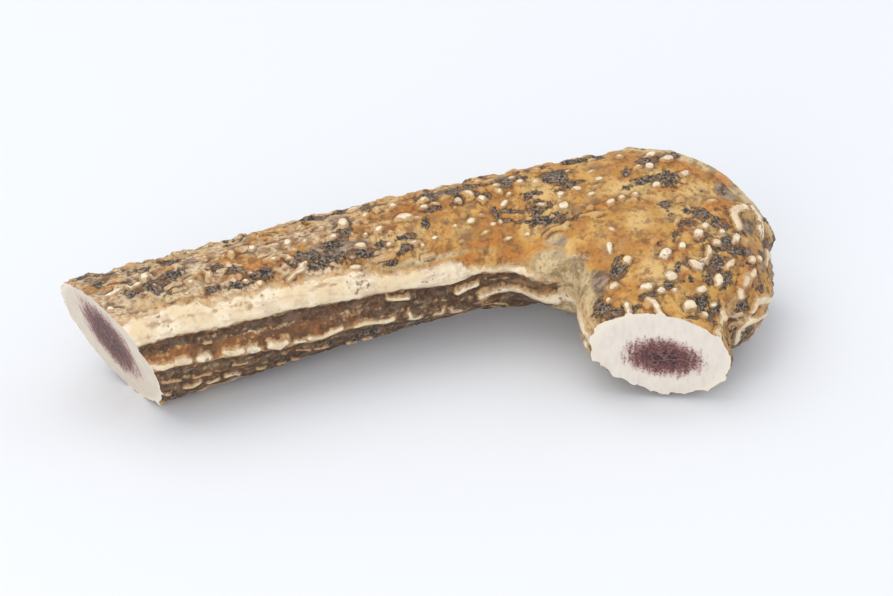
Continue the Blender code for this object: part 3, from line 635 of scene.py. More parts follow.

# %% [markdown]
# ## Patches
#
# Between the pearls lie dark patches of crust, rough as cinder, and the ground colour changes from
# place to place: orange and red stains, grey haze, and a beige fork. Each patch is given as
# an oval seen from above, and noise frays it. Noise alone lays the crusts of the hidden sides.

# %% Patches seen from above: layer, then x, y, length, width and bearing of the length in degrees
PATCHES = {
    "crust": [
        (-65.5, 12.5, 8, 5, 20), (-62, 14.7, 7, 2.8, 10), (-71.5, 11.8, 4, 3, 0), (-53.3, 8.8, 5, 2, 0),
        (-51.5, 13.8, 3.6, 2.2, 0), (-47.5, 8.8, 6, 2, 0), (-48, 12.2, 5, 2.2, 0), (-42, 10, 6, 2.6, 0),
        (-31, 11.4, 8, 4.4, 5), (-27, 10, 10, 3.6, 0), (-24, 13.3, 5, 2.8, 0), (-18, 9.8, 9, 2.4, 0),
        (-20.5, 16, 6, 3.6, 40), (-6.7, 11.6, 4.4, 1.8, 0), (-1, 14, 3, 2.4, 90),
        (2.8, 22.6, 6, 3.6, 70), (2, 16.8, 4, 1.6, 0), (9.2, 21.5, 6, 3.6, 80), (13.5, 18, 5, 2, -50),
        (16.2, 12.2, 4, 1.8, 100), (19, 11.8, 3.6, 1.3, -20), (18.4, 10, 3, 1.1, -30),
        (26.5, 11, 5.8, 3.6, 20), (27.8, 8, 8, 2.6, 0), (26.2, 14.5, 6, 2.4, 0), (22, 20.5, 5, 2.6, 60),
        (33.5, 18, 6, 5, 0), (35.5, 14.6, 7, 1.6, 5), (49.8, 14.2, 3, 2.4, 0), (52.8, 10.5, 7.4, 3, 5),
        (48, 9.5, 2.4, 1.4, 0), (58.6, 9.8, 5.4, 5, 0), (62, 16.5, 8, 2.4, 0), (57.2, 17, 4, 2.4, 60),
        (62.2, -2.4, 5, 4.6, 0), (59, -1.2, 3.4, 2.4, 0), (52.4, -9.2, 3.2, 1.4, 60),
        (57.8, -11.2, 2.6, 1.4, 0), (36.2, -12.8, 6.4, 3.6, 40), (38.2, -9.8, 3, 2, 0),
        (40.4, -22.8, 5, 2, 0), (45.6, -21.4, 3.4, 2.6, 0), (58.7, -18, 7, 4, 45),
        (65, -10.5, 6, 3, 50), (62.2, -13.7, 4.4, 2, 20), (56.5, -20.6, 6, 3.6, 60),
        (52.2, -25, 5.6, 3, 10), (55, -26.2, 5, 3, 20), (51, -27.2, 3, 2.4, 0), (71, -7.5, 5, 2.4, 60),
        (66, -13.5, 6, 2.2, 30), (32.2, -23.2, 4, 1.8, 0), (47.5, -30, 3.6, 1.2, 0),
        (30.6, -20, 3.4, 1.6, 70), (59, -22.5, 3.6, 2, 80), (68.3, -13.2, 4.4, 3, 40),
        (60.4, -21, 4, 3, 60), (51.9, -25.2, 4.4, 3.6, 20), (52.4, -28.6, 4.4, 3, 40),
        (41.2, -22.8, 5, 2.6, 20), (49.3, -17.8, 4.4, 1.4, 60), (51.1, -20.8, 2.4, 1.2, 90),
        (36.7, -12.7, 6, 4.4, 40), (72, -1, 4, 3, 0), (66.5, -6, 4, 2, 45), (56, 17, 5, 3, 20),
        (-76.8, 18, 5, 3, 10), (-67.4, 20, 6, 2.6, 10), (-61, 20.5, 6, 2.6, 0), (-72, 16, 4, 2, 20),
        (-79, 24, 6, 4, 0), (-70, 26, 9, 3, 10), (29.2, -19, 6, 3, 60), (30.6, -22.6, 5, 2.4, 60),
        (35.2, -24.8, 4, 1.6, 10), (1.5, 21.8, 6, 2.6, 10), (2.7, 16.9, 4, 1.8, 0),
        (9.1, 22.5, 5, 3, 0), (13.1, 21.8, 6, 2.4, 0), (14.9, 17, 4.4, 2, 30), (8.2, 17.2, 3.6, 1.6, 0),
        (-6.8, 9.4, 4, 2, 20), (23.4, 8.7, 5, 1.6, 0), (33.2, 5.6, 6, 1, 0), (37.5, 4, 3, 1, 0),
        (-12.1, 11, 4, 2.2, 0), (-11.8, 23.5, 7, 3, 0), (-11.7, 7.6, 3.6, 1.4, 0),
        (21.2, 21.1, 5, 2.6, 0), (25.1, 20.9, 6, 3, 0), (33.4, 19.6, 7, 3.6, 0), (40.6, 24.5, 6, 3, 0),
    ],
    "grey": [
        (-57, 18.5, 6, 5, 0), (33.5, 19, 8, 6, 0), (59, 10, 6.4, 6, 0), (-76, 23, 12, 12, 0),
        (72, 5, 8, 5, -40), (74, -4, 8, 5, 50), (-25, 11.8, 26, 6, 0), (22, 23.5, 8, 6, 0),
        (32, -12, 12, 6, 80), (6, 22.5, 14, 5, 0), (-20, 20, 8, 6, 0), (78, -6, 12, 4.4, 55),
        (73.8, -13, 10, 4, 50), (72.8, -4, 7, 3, 60), (70, -12.2, 6, 2.2, 50), (78.5, -8, 16, 7, 60),
        (30.8, -5, 10, 4, 75), (27.5, 1, 5, 3.6, 0),
    ],
    "orange": [
        (-4, 18.7, 8, 4.8, 0), (-3, 19.5, 5, 3.6, 0), (-45.5, 10.5, 6, 2.4, 0), (47, -9.5, 5.6, 4, 0),
        (48, -15.2, 6, 3.6, 20), (52, -13, 4.4, 4, 60), (57, -5.5, 10, 4, 35), (57, -10.5, 4.4, 3.6, 0),
        (66, 0, 11, 3.2, 12), (66, -4.5, 8, 4.8, 50), (70, -10.5, 6, 3, 50), (69, -17.8, 11, 4.4, 48),
        (64, -21.5, 7, 3.6, 45), (58, 6.8, 12, 2.6, 0), (65, 11.5, 7, 4, 0), (38.5, -26.2, 4, 2.8, 0),
        (36, -18.5, 8, 3.4, 0), (51, -19.5, 6, 2, 0), (12, 7.5, 12, 2, 0), (-10, 14.5, 6, 3, 0),
        (40, 6, 16, 2.2, 5), (73, 8.5, 6, 4, -40), (-40, 12, 12, 3, 0), (3, 28, 8, 6, 0),
        (8, 6.2, 8, 2.4, -3), (16, 5.2, 11, 2.4, -6), (22, 4, 7, 1.8, -10),
    ],
    "beige": [
        (26.5, 2.8, 7, 3, 0), (29.2, -15, 12, 3, 80), (-52, 24, 40, 6, 0), (-3, 7, 28, 2, 0),
        (-66, 9, 16, 3, 5),
    ],
}


def lay_patch(name, px, py, length, width, bearing):
    """Lays an oval patch on the top of the skin: 1 within, falling to 0 a little way outside."""
    near, along, across = tangent_places(vertex_on_top(px, py), math.radians(bearing), length * MM * 1.2)
    out = np.hypot(along / (length * MM / 2), across / (width * MM / 2))
    lay(name, 1.6 - out * (1 + 0.3 * wander_wide[near] + 0.2 * wander[near]), near)


# %% Lay the patches, and crusts on the hidden sides and the head
for name, patches in PATCHES.items():
    for patch in patches:
        lay_patch(name, *patch)
hidden = ease(y, 0.020, 0.026) + ease(-normals[:, 2], 0.1, 0.4) * ease(y, -0.002, 0.004)
hidden_crust = noise_at(points, 0.0065, 1.6, 31.0) + 0.5 * noise_at(points, 0.0030, 1.0, 17.0)
lay("crust", (0.5 + 2.2 * (hidden_crust - 0.22)) * np.clip(hidden, 0, 1))
head_crust = noise_at(points, 0.0030, 1.0, 71.0) + 0.4 * nibble
on_head = ease(x, 0.044, 0.056) * (1 - ease(y, 0.000, 0.012))
lay("crust", (0.5 + 2.0 * (head_crust - 0.30)) * on_head)
layers["crust"] = np.clip(layers["crust"], 0, 1.5) * (1 - ease(layers["cream"], 0.3, 0.6))
print("patches", {name: len(patches) for name, patches in PATCHES.items()})

# %% [markdown]
# ## Roughness
#
# The head is rubbed golden and smooth. Towards the thin end the skin breaks up into plates,
# wormy threads and pale crumbs, and low knobs stand along the back, where one sees them against
# the light. All of it is noise, held back on the cream, on the front and at the fork.

# %% Where the skin is smooth, and where it is bare
golden = (0.15 + 0.85 * ease(x, -0.045, 0.032)) * ease(normals[:, 2], 0.05, 0.5)
bare = 1 - ease(layers["cream"], 0.45, 0.9)
unrubbed = (1 - 0.75 * golden) * off_fork
back_top = ease(y, 0.0185, 0.0235) * ease(normals[:, 2], -0.1, 0.3) * (1 - ease(x, 0.050, 0.056))
print("bare skin", round(float(bare.mean()), 2), "of all")

# %% Raise threads, crumbs, plates, knobs and the crusts' lumps
lumps = noise_at(points, 0.0026, 1.7)
furrows = noise_at(points, 0.0012, 4.0, 5.0)
plates = crevices_at(points + 0.0006 * np.stack([wander_wide, wander, wander_wide], axis=1), 0.0034, 1.5)
threads = ease(1 - np.abs(noise_at(points, 0.0030, 1.5, 23.0)) / 0.16, 0.0, 0.9)
threads *= unrubbed * (1 - on_front) * bare * ease(noise_at(points, 0.0080, 1.0, 41.0), -0.15, 0.15)
crumbs = ease(noise_at(points, 0.0011, 1.7, 61.0), 0.14, 0.42) * unrubbed * (1 - on_front) * bare
rough = bare * (1 - 0.5 * golden) * (0.35 + 0.65 * off_fork)
crusty = ease(layers["crust"], 0.5, 1.0)
layers["rise"] += (0.00035 * threads + 0.00022 * crumbs
                   + 0.00026 * bare * unrubbed * (ease(plates, 0.0, 0.45) - 0.8)
                   + 0.00042 * bare * back_top * ease(lumps, 0.02, 0.38)
                   + rough * (0.00038 * lumps + 0.00024 * furrows + 0.00012 * nibble)
                   + crusty * (0.00024 * np.abs(nibble) + 0.00014 * lumps))
lay("cream", threads * (0.30 + 0.35 * wander_wide))
lay("cream", crumbs * (0.72 + 0.40 * wander_wide))
lay("cream", back_top * bare * ease(lumps, 0.18, 0.5) * (0.62 + 0.40 * wander_wide))
print("relief from", round(float(layers["rise"].min()) * 1000, 2),
      "to", round(float(layers["rise"].max()) * 1000, 2), "mm")

# %% [markdown]
# ## Moving the skin
#
# The heights are laid on in one move along the normals. What lies lower than its surroundings is
# measured afterwards, because the material paints shade into hollows and a paler tan onto bumps:
# a copy of the places is averaged with the neighbours a few times, and the difference along the
# normal says hollow or bump.

# %% Move the vertices, and measure how hollow each place is
FINE_ROUNDS, WIDE_ROUNDS = 10, 50
FINE_DEPTH, WIDE_DEPTH = 0.00016, 0.0005


def averaged(places, rounds):
    """Places averaged with their neighbours along the edges, a number of times."""
    ends = np.empty(len(skin.data.edges) * 2, dtype=int)
    skin.data.edges.foreach_get("vertices", ends)
    a, b = ends.reshape(-1, 2).T
    count = (np.bincount(a, minlength=len(places)) + np.bincount(b, minlength=len(places)))[:, None]
    for _ in range(rounds):
        total = np.stack([np.bincount(a, places[b, k], len(places))
                          + np.bincount(b, places[a, k], len(places)) for k in range(3)], axis=1)
        places = 0.5 * places + 0.5 * total / count
    return places


points = points + normals * layers.pop("rise")[:, None]
points[:, 2] = np.maximum(points[:, 2], 0.0)
skin.data.vertices.foreach_set("co", points.ravel())
skin.data.update()
normals = read_vectors(skin.data, "normal")
near_mean = averaged(points, FINE_ROUNDS)
# How far each place lies below its neighbours. The material paints shade by it into small and wide hollows,
# and a paler tan, a painted highlight, onto bumps.
hollows = ((near_mean - points) * normals).sum(1) / FINE_DEPTH
deeps = ((averaged(near_mean, WIDE_ROUNDS) - points) * normals).sum(1) / WIDE_DEPTH
layers["hollow"] = np.clip(0.5 + 0.5 * hollows, 0, 1)
layers["deep_shade"] = np.clip(0.5 + 0.5 * deeps, 0, 1)
layers["golden"] = golden
print("hollows from", round(float(hollows.min()), 2), "to", round(float(hollows.max()), 2))

# %% [markdown]
# ## Colour by place
#
# The layers are kept on the skin as attributes, and the material turns them into colour. Some are
# worked out only now: the near-black and rusty bands between the smooth ridge and the first lip,
# the grey-brown of the flanks and the underside, where the skin was never rubbed golden, and the
# pale beige of the fork, the web and the burr's rim.

# %% Bands between the ridge and the lip, and under it
band = drop + 0.07 * wander_wide + 0.05 * wander
between = within(band, -0.05, 0.03, 1.02, 1.12) * ease(on_front, 0.2, 0.9)
to_right = ease(x, -0.032, -0.012)
lay("dark", between * np.maximum(1 - ease(band, 0.28, 0.48), 0.75 * to_right))
# Just under the lip the skin is painted near-black: painted shade under the overhanging lip, over the
# ledge's own brown. Lower down the front it is painted dark as well.
lay("dark", 0.75 * on_front * within(under_lip, 0.0, 0.0004, 0.0016, 0.0034) * (station_z < lip))
lay("dark", 0.78 * on_front * within(lip - station_z, 0.0010, 0.0030, 0.0100, 0.0150))
layers["rust"] = (between * ease(band, 0.28, 0.46) * (1.15 + 0.5 * noise_at(points, 0.0055, 1.6, 3.0))
                  * (1 - 0.75 * to_right))
print("dark on", int((layers["dark"] > 0.5).sum()), "points")

# %% Grey flanks and underside
beam_flank = ease(beam_bearing, 78, 98) * (1 - on_tine)
tine_flank = on_tine * np.maximum(ease(tine_bearing, 70, 95), ease(-tine_bearing, 76, 98))
sides = np.clip(beam_flank + tine_flank + 0.7 * ease(-normals[:, 2], -0.1, 0.3), 0, 1)
layers["grey"] = np.maximum(0.9 * ease(layers["grey"], 0.4, 1.2), sides)
print("grey on", int((layers["grey"] > 0.5).sum()), "points")

# %% Pale fork, web and burr rim
PALE_MIDDLE = np.array([0.0265, -0.0010, 0.0165])
PALE_SHAPE = np.array([1.0, 1.2, 0.8])
SHADE_EASED_MIDDLE = np.array([0.0270, -0.0010, 0.0160])
burr_point, burr_way = CUTS["burr"]
to_burr = (points - np.array(burr_point)) @ np.array(burr_way) + 0.0012 * wander_wide
pale_rim = ease(to_burr, -0.0035, -0.0008) * ease(normals[:, 2], -0.2, 0.3)
pale_web = within(tine_bearing, 58, 74, 104, 118) * ease(-y, -0.006, 0.002) * ease(-x, -0.046, -0.034)
pale_fork = 1 - ease(np.linalg.norm((points - PALE_MIDDLE) / PALE_SHAPE, axis=1), 0.0055, 0.0110)
layers["beige"] = np.maximum.reduce([0.8 * ease(layers["beige"], 0.1, 1.3), 0.9 * pale_rim,
                                     pale_web, pale_fork])
# The painted shade of the wide hollows is weakened to a fifth near the middle of the fork.
layers["deep_shade"] *= 0.2 + 0.8 * ease(np.linalg.norm(points - SHADE_EASED_MIDDLE, axis=1), 0.010, 0.017)
for name, values in layers.items():
    attribute = skin.data.attributes.new(name, "FLOAT", "POINT")
    attribute.data.foreach_set("value", values.astype(np.float32))
print("attributes", list(layers))

# %% [markdown]
# ## Sawing
#
# A saw leaves a flat face and a sharp rim. Bisect cuts, clears what lies outside and fills the hole,
# on the selected faces alone, so only those near the cut are selected. Each rim is marked sharp,
# and all else is shaded smooth. Decimate first spends the triangles where the relief is. It is
# given some to spare, which go with the lengths that are sawn off.

# %% Thin the skin out and saw it
SKIN_TRIANGLES = 196000
SPARE_SHARE = 1.28
SAW_REACH = 0.045
finish_with(skin, "thin", "DECIMATE", ratio=SKIN_TRIANGLES * SPARE_SHARE / (2 * len(skin.data.polygons)))
bpy.ops.object.shade_smooth()
for point, way in CUTS.values():
    only(skin)
    for face in skin.data.polygons:
        face.select = (face.center - point).length < SAW_REACH
    bpy.ops.object.mode_set(mode="EDIT")
    bpy.ops.mesh.bisect(plane_co=point, plane_no=way, use_fill=True, clear_outer=True)
    bpy.ops.mesh.region_to_loop()
    bpy.ops.mesh.mark_sharp()
    bpy.ops.mesh.select_all(action="DESELECT")
    bpy.ops.object.mode_set(mode="OBJECT")
skin.data.calc_loop_triangles()
print("skin", len(skin.data.loop_triangles), "triangles")

# %% [markdown]
# ## Making materials
#
# A material is a small net of nodes. These helpers keep each net short to read: one adds a node and
# links or sets its inputs, one mixes two colours, and two turn a value into a soft-edged mask.

# %% Helpers for nodes
def connect(tree, socket, value):
    """Links another node's output to an input, or sets the input to a constant."""
    if isinstance(value, bpy.types.NodeSocket):
        tree.links.new(value, socket)
    else:
        socket.default_value = value


def add(tree, kind, inputs=None, **settings):
    """Adds a node, sets its options, and links or sets its inputs."""
    node = tree.nodes.new(kind)
    for key, value in settings.items():
        setattr(node, key, value)
    for key, value in (inputs or {}).items():
        connect(tree, node.inputs[key], value)
    return node


def mix(tree, amount, under, over):
    """Lays one colour over another by an amount from 0 to 1."""
    return add(tree, "ShaderNodeMix", {0: amount, 6: under, 7: over}, data_type="RGBA").outputs[2]


def sums(tree, operation, a, b):
    """One step of arithmetic."""
    return add(tree, "ShaderNodeMath", {0: a, 1: b}, operation=operation).outputs[0]


def mask(tree, value, low, high):
    """0 where a value is below low, 1 above high."""
    node = add(tree, "ShaderNodeMapRange", {"Value": value, "From Min": low, "From Max": high},
               interpolation_type="SMOOTHSTEP")
    return node.outputs["Result"]


def below(tree, value, low, high):
    """1 where a value is below low, 0 above high."""
    return sums(tree, "SUBTRACT", 1.0, mask(tree, value, low, high))


def layer(tree, name):
    """A layer of the skin by its attribute's name."""
    return add(tree, "ShaderNodeAttribute", attribute_name=name).outputs["Fac"]


def speckle(tree, vector, scale, detail=3.0, roughness=0.55):
    """Noise around 0.5."""
    return add(tree, "ShaderNodeTexNoise", {"Vector": vector, "Scale": scale, "Detail": detail,
                                            "Roughness": roughness}).outputs["Fac"]


def new_material(name):
    """A material, its node tree and its shader."""
    material = bpy.data.materials.new(name)
    material.use_nodes = True
    return material, material.node_tree, material.node_tree.nodes["Principled BSDF"]


# %% [markdown]
# ## The skin's material
#
# From below: golden ochre on the head and mottled brown on the thin end, greyer on the flanks,
# rusty and near-black bands, painted shade in the hollows and a painted tan highlight on the bumps,
# brown stain round the pearls, salt-and-pepper crust, and cream on pearls and ridges, which runs
# out through tan. Noise frays every edge, and the same noises drive the bump, so that dark specks
# are pits.

# %% Colours of the skin, as linear red, green and blue
GOLD = (0.56, 0.31, 0.080, 1)
OCHRE = (0.44, 0.21, 0.045, 1)
PALE_GOLD = (0.62, 0.42, 0.17, 1)
SMOKE = (0.24, 0.165, 0.095, 1)
AMBER = (0.42, 0.17, 0.035, 1)
BROWN = (0.23, 0.105, 0.036, 1)
UMBER = (0.060, 0.030, 0.018, 1)
GREY_BROWN = (0.114, 0.080, 0.054, 1)
GREY_LIGHT = (0.30, 0.235, 0.175, 1)
GREY_TAN = (0.54, 0.41, 0.265, 1)
PALE_TAN = (0.78, 0.62, 0.41, 1)
ORANGE = (0.47, 0.17, 0.030, 1)
RUST = (0.17, 0.060, 0.020, 1)
RUSTY_TAN = (0.29, 0.104, 0.025, 1)
BLACK = (0.024, 0.021, 0.021, 1)
CINDER = (0.29, 0.225, 0.165, 1)
TAN = (0.56, 0.33, 0.14, 1)
CREAM = (0.70, 0.555, 0.35, 1)
PINK_TAN = (0.52, 0.375, 0.255, 1)
PALE_CREAM = (0.77, 0.66, 0.48, 1)
FORK_BEIGE = (0.58, 0.45, 0.255, 1)
OLIVE = (0.22, 0.16, 0.07, 1)
BLOT = (0.30, 0.15, 0.06, 1)

# %% The noises that the skin's colours share
skin_material, tree, shader = new_material("antler_skin")
place = add(tree, "ShaderNodeTexCoord").outputs["Object"]
along = add(tree, "ShaderNodeMapping", {"Vector": place, "Scale": (0.35, 1, 1)}).outputs["Vector"]
cloud = speckle(tree, place, 75, 2)
blotch = speckle(tree, place, 150, 4)
smoky = speckle(tree, place, 210, 4)
mottle = speckle(tree, place, 430, 5, 0.62)
streak = speckle(tree, along, 520, 4, 0.6)
fleck = speckle(tree, place, 950, 3)
cinder_grain = speckle(tree, place, 1500, 3, 0.7)
golden_layer = layer(tree, "golden")


def frayed(value, by=1.0):
    """A value with noise added, so that a mask made from it has a frayed edge."""
    noises = sums(tree, "ADD", sums(tree, "MULTIPLY", fleck, 0.9), sums(tree, "MULTIPLY", mottle, 0.9))
    return sums(tree, "ADD", value, sums(tree, "MULTIPLY", sums(tree, "SUBTRACT", noises, 0.9), by))


def painted(under, over, value, low, high, most):
    """Lays a colour over another where a value runs from low to high, by at most a share."""
    return mix(tree, sums(tree, "MULTIPLY", mask(tree, value, low, high), most), under, over)


def over_layer(under, over, name, fray, low, high, most):
    """Lays a colour where a layer of the skin is strong, with its edge frayed by an amount."""
    value = layer(tree, name)
    return painted(under, over, frayed(value, fray) if fray else value, low, high, most)


# %% The skin's ground: ochre, brown and grey
head = mix(tree, mask(tree, blotch, 0.40, 0.56), OCHRE, GOLD)
head = painted(head, PALE_GOLD, cloud, 0.48, 0.62, 0.75)
head = painted(head, AMBER, cloud, 0.50, 0.36, 0.6)
head = painted(head, SMOKE, smoky, 0.52, 0.66, 0.55)
head = painted(head, BROWN, mottle, 0.50, 0.62, 0.75)
thin_end = mix(tree, mask(tree, blotch, 0.40, 0.56), OCHRE, GREY_TAN)
thin_end = painted(thin_end, BROWN, mottle, 0.46, 0.60, 0.75)
thin_end = painted(thin_end, PALE_TAN, sums(tree, "SUBTRACT", 1.0, streak), 0.50, 0.62, 0.6)
colour = mix(tree, mask(tree, frayed(golden_layer), 0.10, 0.72), thin_end, head)
greys = mix(tree, mask(tree, streak, 0.40, 0.62), GREY_BROWN, GREY_LIGHT)
colour = over_layer(colour, greys, "grey", 0.8, 0.25, 0.75, 0.92)
colour = over_layer(colour, FORK_BEIGE, "beige", 1.0, 0.25, 0.80, 0.9)
olive = sums(tree, "MULTIPLY", mask(tree, mottle, 0.46, 0.60), layer(tree, "beige"))
colour = mix(tree, sums(tree, "MULTIPLY", olive, 0.72), colour, OLIVE)

# %% Its bands and stains
stains = mix(tree, mask(tree, mottle, 0.48, 0.64), ORANGE, RUST)
colour = over_layer(colour, stains, "orange", 1.0, 0.30, 1.15, 0.75)
ledge_brown = mix(tree, mask(tree, mottle, 0.42, 0.58), RUSTY_TAN, RUST)
ledge_brown = painted(ledge_brown, UMBER, blotch, 0.47, 0.58, 0.7)
colour = over_layer(colour, ledge_brown, "rust", 1.0, 0.30, 0.80, 0.95)
dark = mix(tree, mask(tree, mottle, 0.40, 0.54), GREY_BROWN, UMBER)
dark = painted(dark, RUST, blotch, 0.52, 0.62, 0.3)
colour = over_layer(colour, dark, "dark", 1.0, 0.30, 0.75, 0.95)
# Painted shade: umber laid into the wide and the small hollows of the relief.
colour = over_layer(colour, UMBER, "deep_shade", 0, 0.50, 0.95, 0.55)
colour = over_layer(colour, UMBER, "hollow", 0, 0.54, 1.00, 0.75)
colour = over_layer(colour, BROWN, "stain", 0.5, 0.40, 1.0, 0.65)
# A painted highlight: paler tan on the bumps of the relief.
colour = over_layer(colour, TAN, "hollow", 0.5, 0.40, 0.12, 0.55)
specks = sums(tree, "SUBTRACT", fleck, sums(tree, "MULTIPLY", golden_layer, 0.05))
colour = painted(colour, BROWN, specks, 0.48, 0.62, 0.5)

# %% Its crusts
colour = over_layer(colour, UMBER, "crust", 1.6, 0.30, 0.70, 0.65)
pepper = mix(tree, mask(tree, cinder_grain, 0.45, 0.60), BLACK, CINDER)
pepper = painted(pepper, BROWN, mottle, 0.50, 0.60, 0.6)
crust = mask(tree, frayed(layer(tree, "crust"), 2.2), 0.60, 0.80)
colour = mix(tree, sums(tree, "MULTIPLY", crust, 0.95), colour, pepper)

# %% Its cream
frayed_cream = frayed(layer(tree, "cream"), 0.9)
colour = painted(colour, TAN, frayed_cream, 0.30, 0.60, 0.65)
cream = mix(tree, mask(tree, blotch, 0.42, 0.58), CREAM, PALE_CREAM)
cream = painted(cream, PINK_TAN, streak, 0.50, 0.64, 0.55)
cream = painted(cream, PINK_TAN, mottle, 0.52, 0.64, 0.6)
cream = painted(cream, BROWN, sums(tree, "ADD", blotch, fleck), 1.17, 1.30, 0.8)
cream_amount = mask(tree, frayed_cream, 0.52, 0.88)
colour = mix(tree, cream_amount, colour, cream)
colour = over_layer(colour, BLOT, "blot", 0.8, 0.35, 1.0, 0.65)
tree.links.new(colour, shader.inputs["Base Color"])

# %% The skin's gloss and grain
DRY, POLISHED = 0.58, 0.40
shader.inputs["Specular IOR Level"].default_value = 0.3
gloss = add(tree, "ShaderNodeMapRange", {"Value": cream_amount, "To Min": DRY, "To Max": POLISHED})
tree.links.new(gloss.outputs["Result"], shader.inputs["Roughness"])
fine = sums(tree, "ADD", sums(tree, "MULTIPLY", mottle, -1.1), sums(tree, "MULTIPLY", fleck, -0.8))
fine = sums(tree, "MULTIPLY", fine, sums(tree, "SUBTRACT", 1.0, sums(tree, "MULTIPLY", cream_amount, 0.75)))
cinders = sums(tree, "MULTIPLY", cinder_grain, sums(tree, "MULTIPLY", crust, 1.4))
height = sums(tree, "ADD", fine, cinders)
bump = add(tree, "ShaderNodeBump", {"Height": height, "Strength": 0.8, "Distance": 0.0006})
tree.links.new(bump.outputs["Normal"], shader.inputs["Normal"])
print("skin material", len(tree.nodes), "nodes")

# %% [markdown]
# ## The sawn faces
#
# Sawn antler is ivory, faintly streaked by the blade, and its core is a sponge of dried blood brown
# with open pores. The faces have no vertices inside their rims, so their pattern is worked out from
# the place in space, turned into each face's own plane: across and up. A core is an
# oval there whose noise is drawn out along one way, so that its edge runs out in fibres.

# %% Colours of the sawn bone
IVORY = (0.715, 0.645, 0.56, 1)
IVORY_WARM = (0.65, 0.565, 0.455, 1)
CORE = (0.17, 0.066, 0.060, 1)
CORE_LIGHT = (0.42, 0.23, 0.21, 1)
PORE = (0.020, 0.010, 0.012, 1)
RED_PORE = (0.090, 0.026, 0.024, 1)
STREAK = (0.45, 0.36, 0.33, 1)
RIM_CREAM = (0.74, 0.66, 0.54, 1)

# %% Each face's core: middle, half size and lean in degrees; its rim: middle and half size; its bone
SAWN = {
    "tine": ((0.0002, 0.0006), (0.0084, 0.0048), -8, (-0.0007, 0.0012), (0.0158, 0.0120), IVORY),
    "beam": ((0.0001, 0.0014), (0.0080, 0.0100), 15, (0.0, 0.0), (0.0167, 0.0159), IVORY_WARM),
    "burr": ((0.0, 0.0), (0.0150, 0.0095), 0, (0.0, 0.0), (0.0242, 0.0177), IVORY_WARM),
}

# %% Ovals, pores, and the plane of a face
def out_from(tree, flat, middle, half_size, lean=0):
    """How far out a place lies from the middle of an oval, 1 being its edge."""
    oval = add(tree, "ShaderNodeMapping", {
        "Vector": flat, "Location": (*middle, 0), "Rotation": (0, 0, math.radians(lean)),
        "Scale": (*half_size, 1)}, vector_type="TEXTURE").outputs["Vector"]
    return add(tree, "ShaderNodeVectorMath", {0: oval}, operation="LENGTH").outputs["Value"]


def pores_of(tree, flat, scale, wide, tight):
    """Round pores strewn over a plane."""
    cells = add(tree, "ShaderNodeTexVoronoi", {"Vector": flat, "Scale": scale, "Randomness": 1.0},
                feature="F1")
    return below(tree, cells.outputs["Distance"], wide, tight)


def plane_of(tree, point, way):
    """The place in a face's own plane, as a vector: across and up."""
    side = Vector((0, 0, 1)).cross(way).normalized()
    place = add(tree, "ShaderNodeTexCoord").outputs["Object"]
    away = add(tree, "ShaderNodeVectorMath", {0: place, 1: point}, operation="SUBTRACT")
    across, up = (add(tree, "ShaderNodeVectorMath", {0: away.outputs["Vector"], 1: axis},
                      operation="DOT_PRODUCT").outputs["Value"] for axis in (side, way.cross(side)))
    return add(tree, "ShaderNodeCombineXYZ", {"X": across, "Y": up}).outputs["Vector"]


# %% The material of a sawn face
def sawn_material(name):
    """Ivory bone round a porous core, in the plane of one sawn face."""
    core_middle, core_size, lean, rim_middle, rim_size, ivory = SAWN[name]
    material, tree, shader = new_material("sawn_" + name)
    flat = plane_of(tree, *CUTS[name])
    drawn_out = add(tree, "ShaderNodeMapping", {"Vector": flat, "Scale": (1, 0.22, 1)}).outputs["Vector"]
    fibres = speckle(tree, drawn_out, 900, 4)
    cloud = speckle(tree, flat, 260, 3)
    colour = mix(tree, mask(tree, cloud, 0.3, 0.7), ivory, tuple(c * 0.93 for c in ivory[:3]) + (1,))
    colour = mix(tree, sums(tree, "MULTIPLY", mask(tree, fibres, 0.45, 0.75), 0.25), colour, STREAK)
    rim = sums(tree, "ADD", out_from(tree, flat, rim_middle, rim_size), sums(tree, "MULTIPLY", cloud, 0.16))
    colour = mix(tree, mask(tree, rim, 1.01, 1.12), colour, RIM_CREAM)
    ragged = sums(tree, "MULTIPLY", sums(tree, "SUBTRACT", fibres, 0.5), 1.1)
    ragged = sums(tree, "ADD", out_from(tree, flat, core_middle, core_size, lean), ragged)
    near_core = below(tree, ragged, 0.90, 1.30)
    heart = below(tree, ragged, 0.25, 0.85)
    colour = mix(tree, sums(tree, "MULTIPLY", near_core, 0.8), colour, CORE_LIGHT)
    colour = mix(tree, below(tree, ragged, 0.68, 1.12), colour, CORE)
    small_pores = sums(tree, "MULTIPLY", pores_of(tree, flat, 1900, 0.30, 0.52),
                       sums(tree, "MULTIPLY", near_core, 0.75))
    big_pores = sums(tree, "MULTIPLY", pores_of(tree, flat, 1200, 0.36, 0.56), heart)
    pores = sums(tree, "MAXIMUM", small_pores, big_pores)
    colour = mix(tree, pores, colour, mix(tree, heart, RED_PORE, PORE))
    tree.links.new(colour, shader.inputs["Base Color"])
    shader.inputs["Roughness"].default_value = 0.55
    depth = sums(tree, "SUBTRACT", sums(tree, "MULTIPLY", fibres, 0.06), pores)
    bump = add(tree, "ShaderNodeBump", {"Height": depth, "Strength": 0.8, "Distance": 0.0004})
    tree.links.new(bump.outputs["Normal"], shader.inputs["Normal"])
    return material


# %% Give the skin and the sawn faces their materials
skin.data.materials.append(skin_material)
for index, (name, (point, way)) in enumerate(CUTS.items()):
    skin.data.materials.append(sawn_material(name))
    for face in skin.data.polygons:
        if lies_in(face, point, way):
            face.material_index = index + 1
            face.use_smooth = False
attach(skin, "root")
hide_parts("beam", "tine")
print("materials", [material.name for material in skin.data.materials])

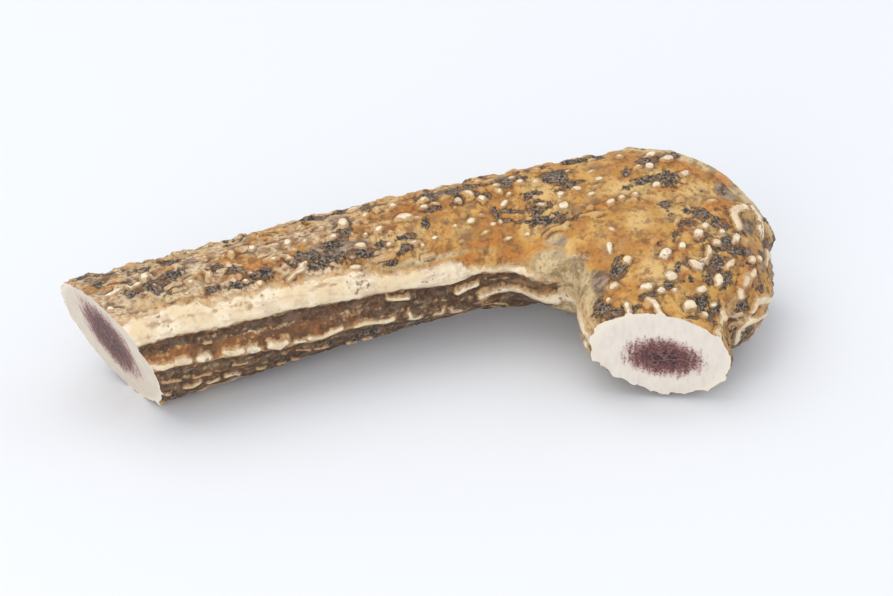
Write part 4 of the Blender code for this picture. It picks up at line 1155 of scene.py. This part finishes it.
# %% [markdown]
# ## Floor, light and camera
#
# The piece lies on a plain pale table. One broad soft light stands behind it on the left, another of
# about the same power in front on the left, and a weak one on the right. So the shadows are soft,
# and lie in the fork and under the beam's front.

# %% Floor
FLOOR_SIZE = 4
FLOOR_GREY = (0.71, 0.72, 0.74, 1)
bpy.ops.mesh.primitive_plane_add(size=FLOOR_SIZE, location=(0, 0, 0))
floor = bpy.context.active_object
floor.name = "floor"
floor_material, tree, shader = new_material("pale_floor")
shader.inputs["Base Color"].default_value = FLOOR_GREY
shader.inputs["Roughness"].default_value = 0.8
floor.data.materials.append(floor_material)

# %% Lights and background: name, place, size, power and tint
LIGHTS = [
    ("key", (-0.35, 0.42, 1.25), 1.2, 6.0, (1.0, 0.985, 0.96)),
    ("fill", (-0.85, -0.85, 0.60), 0.9, 6.8, (1.0, 0.99, 0.98)),
    ("side", (1.00, -0.10, 0.60), 0.9, 1.5, (0.97, 0.98, 1.0)),
]
LIT_SPOT = Vector((0, 0, 0.01))
SKY = (0.93, 0.955, 1.0, 1)
SKY_STRENGTH = 0.96
for name, spot, size, power, tint in LIGHTS:
    bpy.ops.object.light_add(type="AREA", location=spot)
    light = bpy.context.active_object
    light.name = name
    light.data.size = size
    light.data.energy = power
    light.data.color = tint
    light.rotation_euler = (LIT_SPOT - Vector(spot)).to_track_quat("-Z", "Y").to_euler()
world = bpy.data.worlds.new("pale")
world.use_nodes = True
background = world.node_tree.nodes["Background"]
background.inputs["Color"].default_value = SKY
background.inputs["Strength"].default_value = SKY_STRENGTH
bpy.context.scene.world = world
bpy.context.scene.view_settings.view_transform = "Standard"

# %% Camera
EYE = Vector((-0.15844, -0.43544, 0.34416))
LOOK = Vector((0.28017, 0.76975, -0.57358))
LENS = 98.57
SENSOR = 36
bpy.ops.object.camera_add(location=EYE)
camera = bpy.context.active_object
camera.rotation_euler = LOOK.to_track_quat("-Z", "Y").to_euler()
camera.data.lens = LENS
camera.data.sensor_width = SENSOR
bpy.context.scene.camera = camera
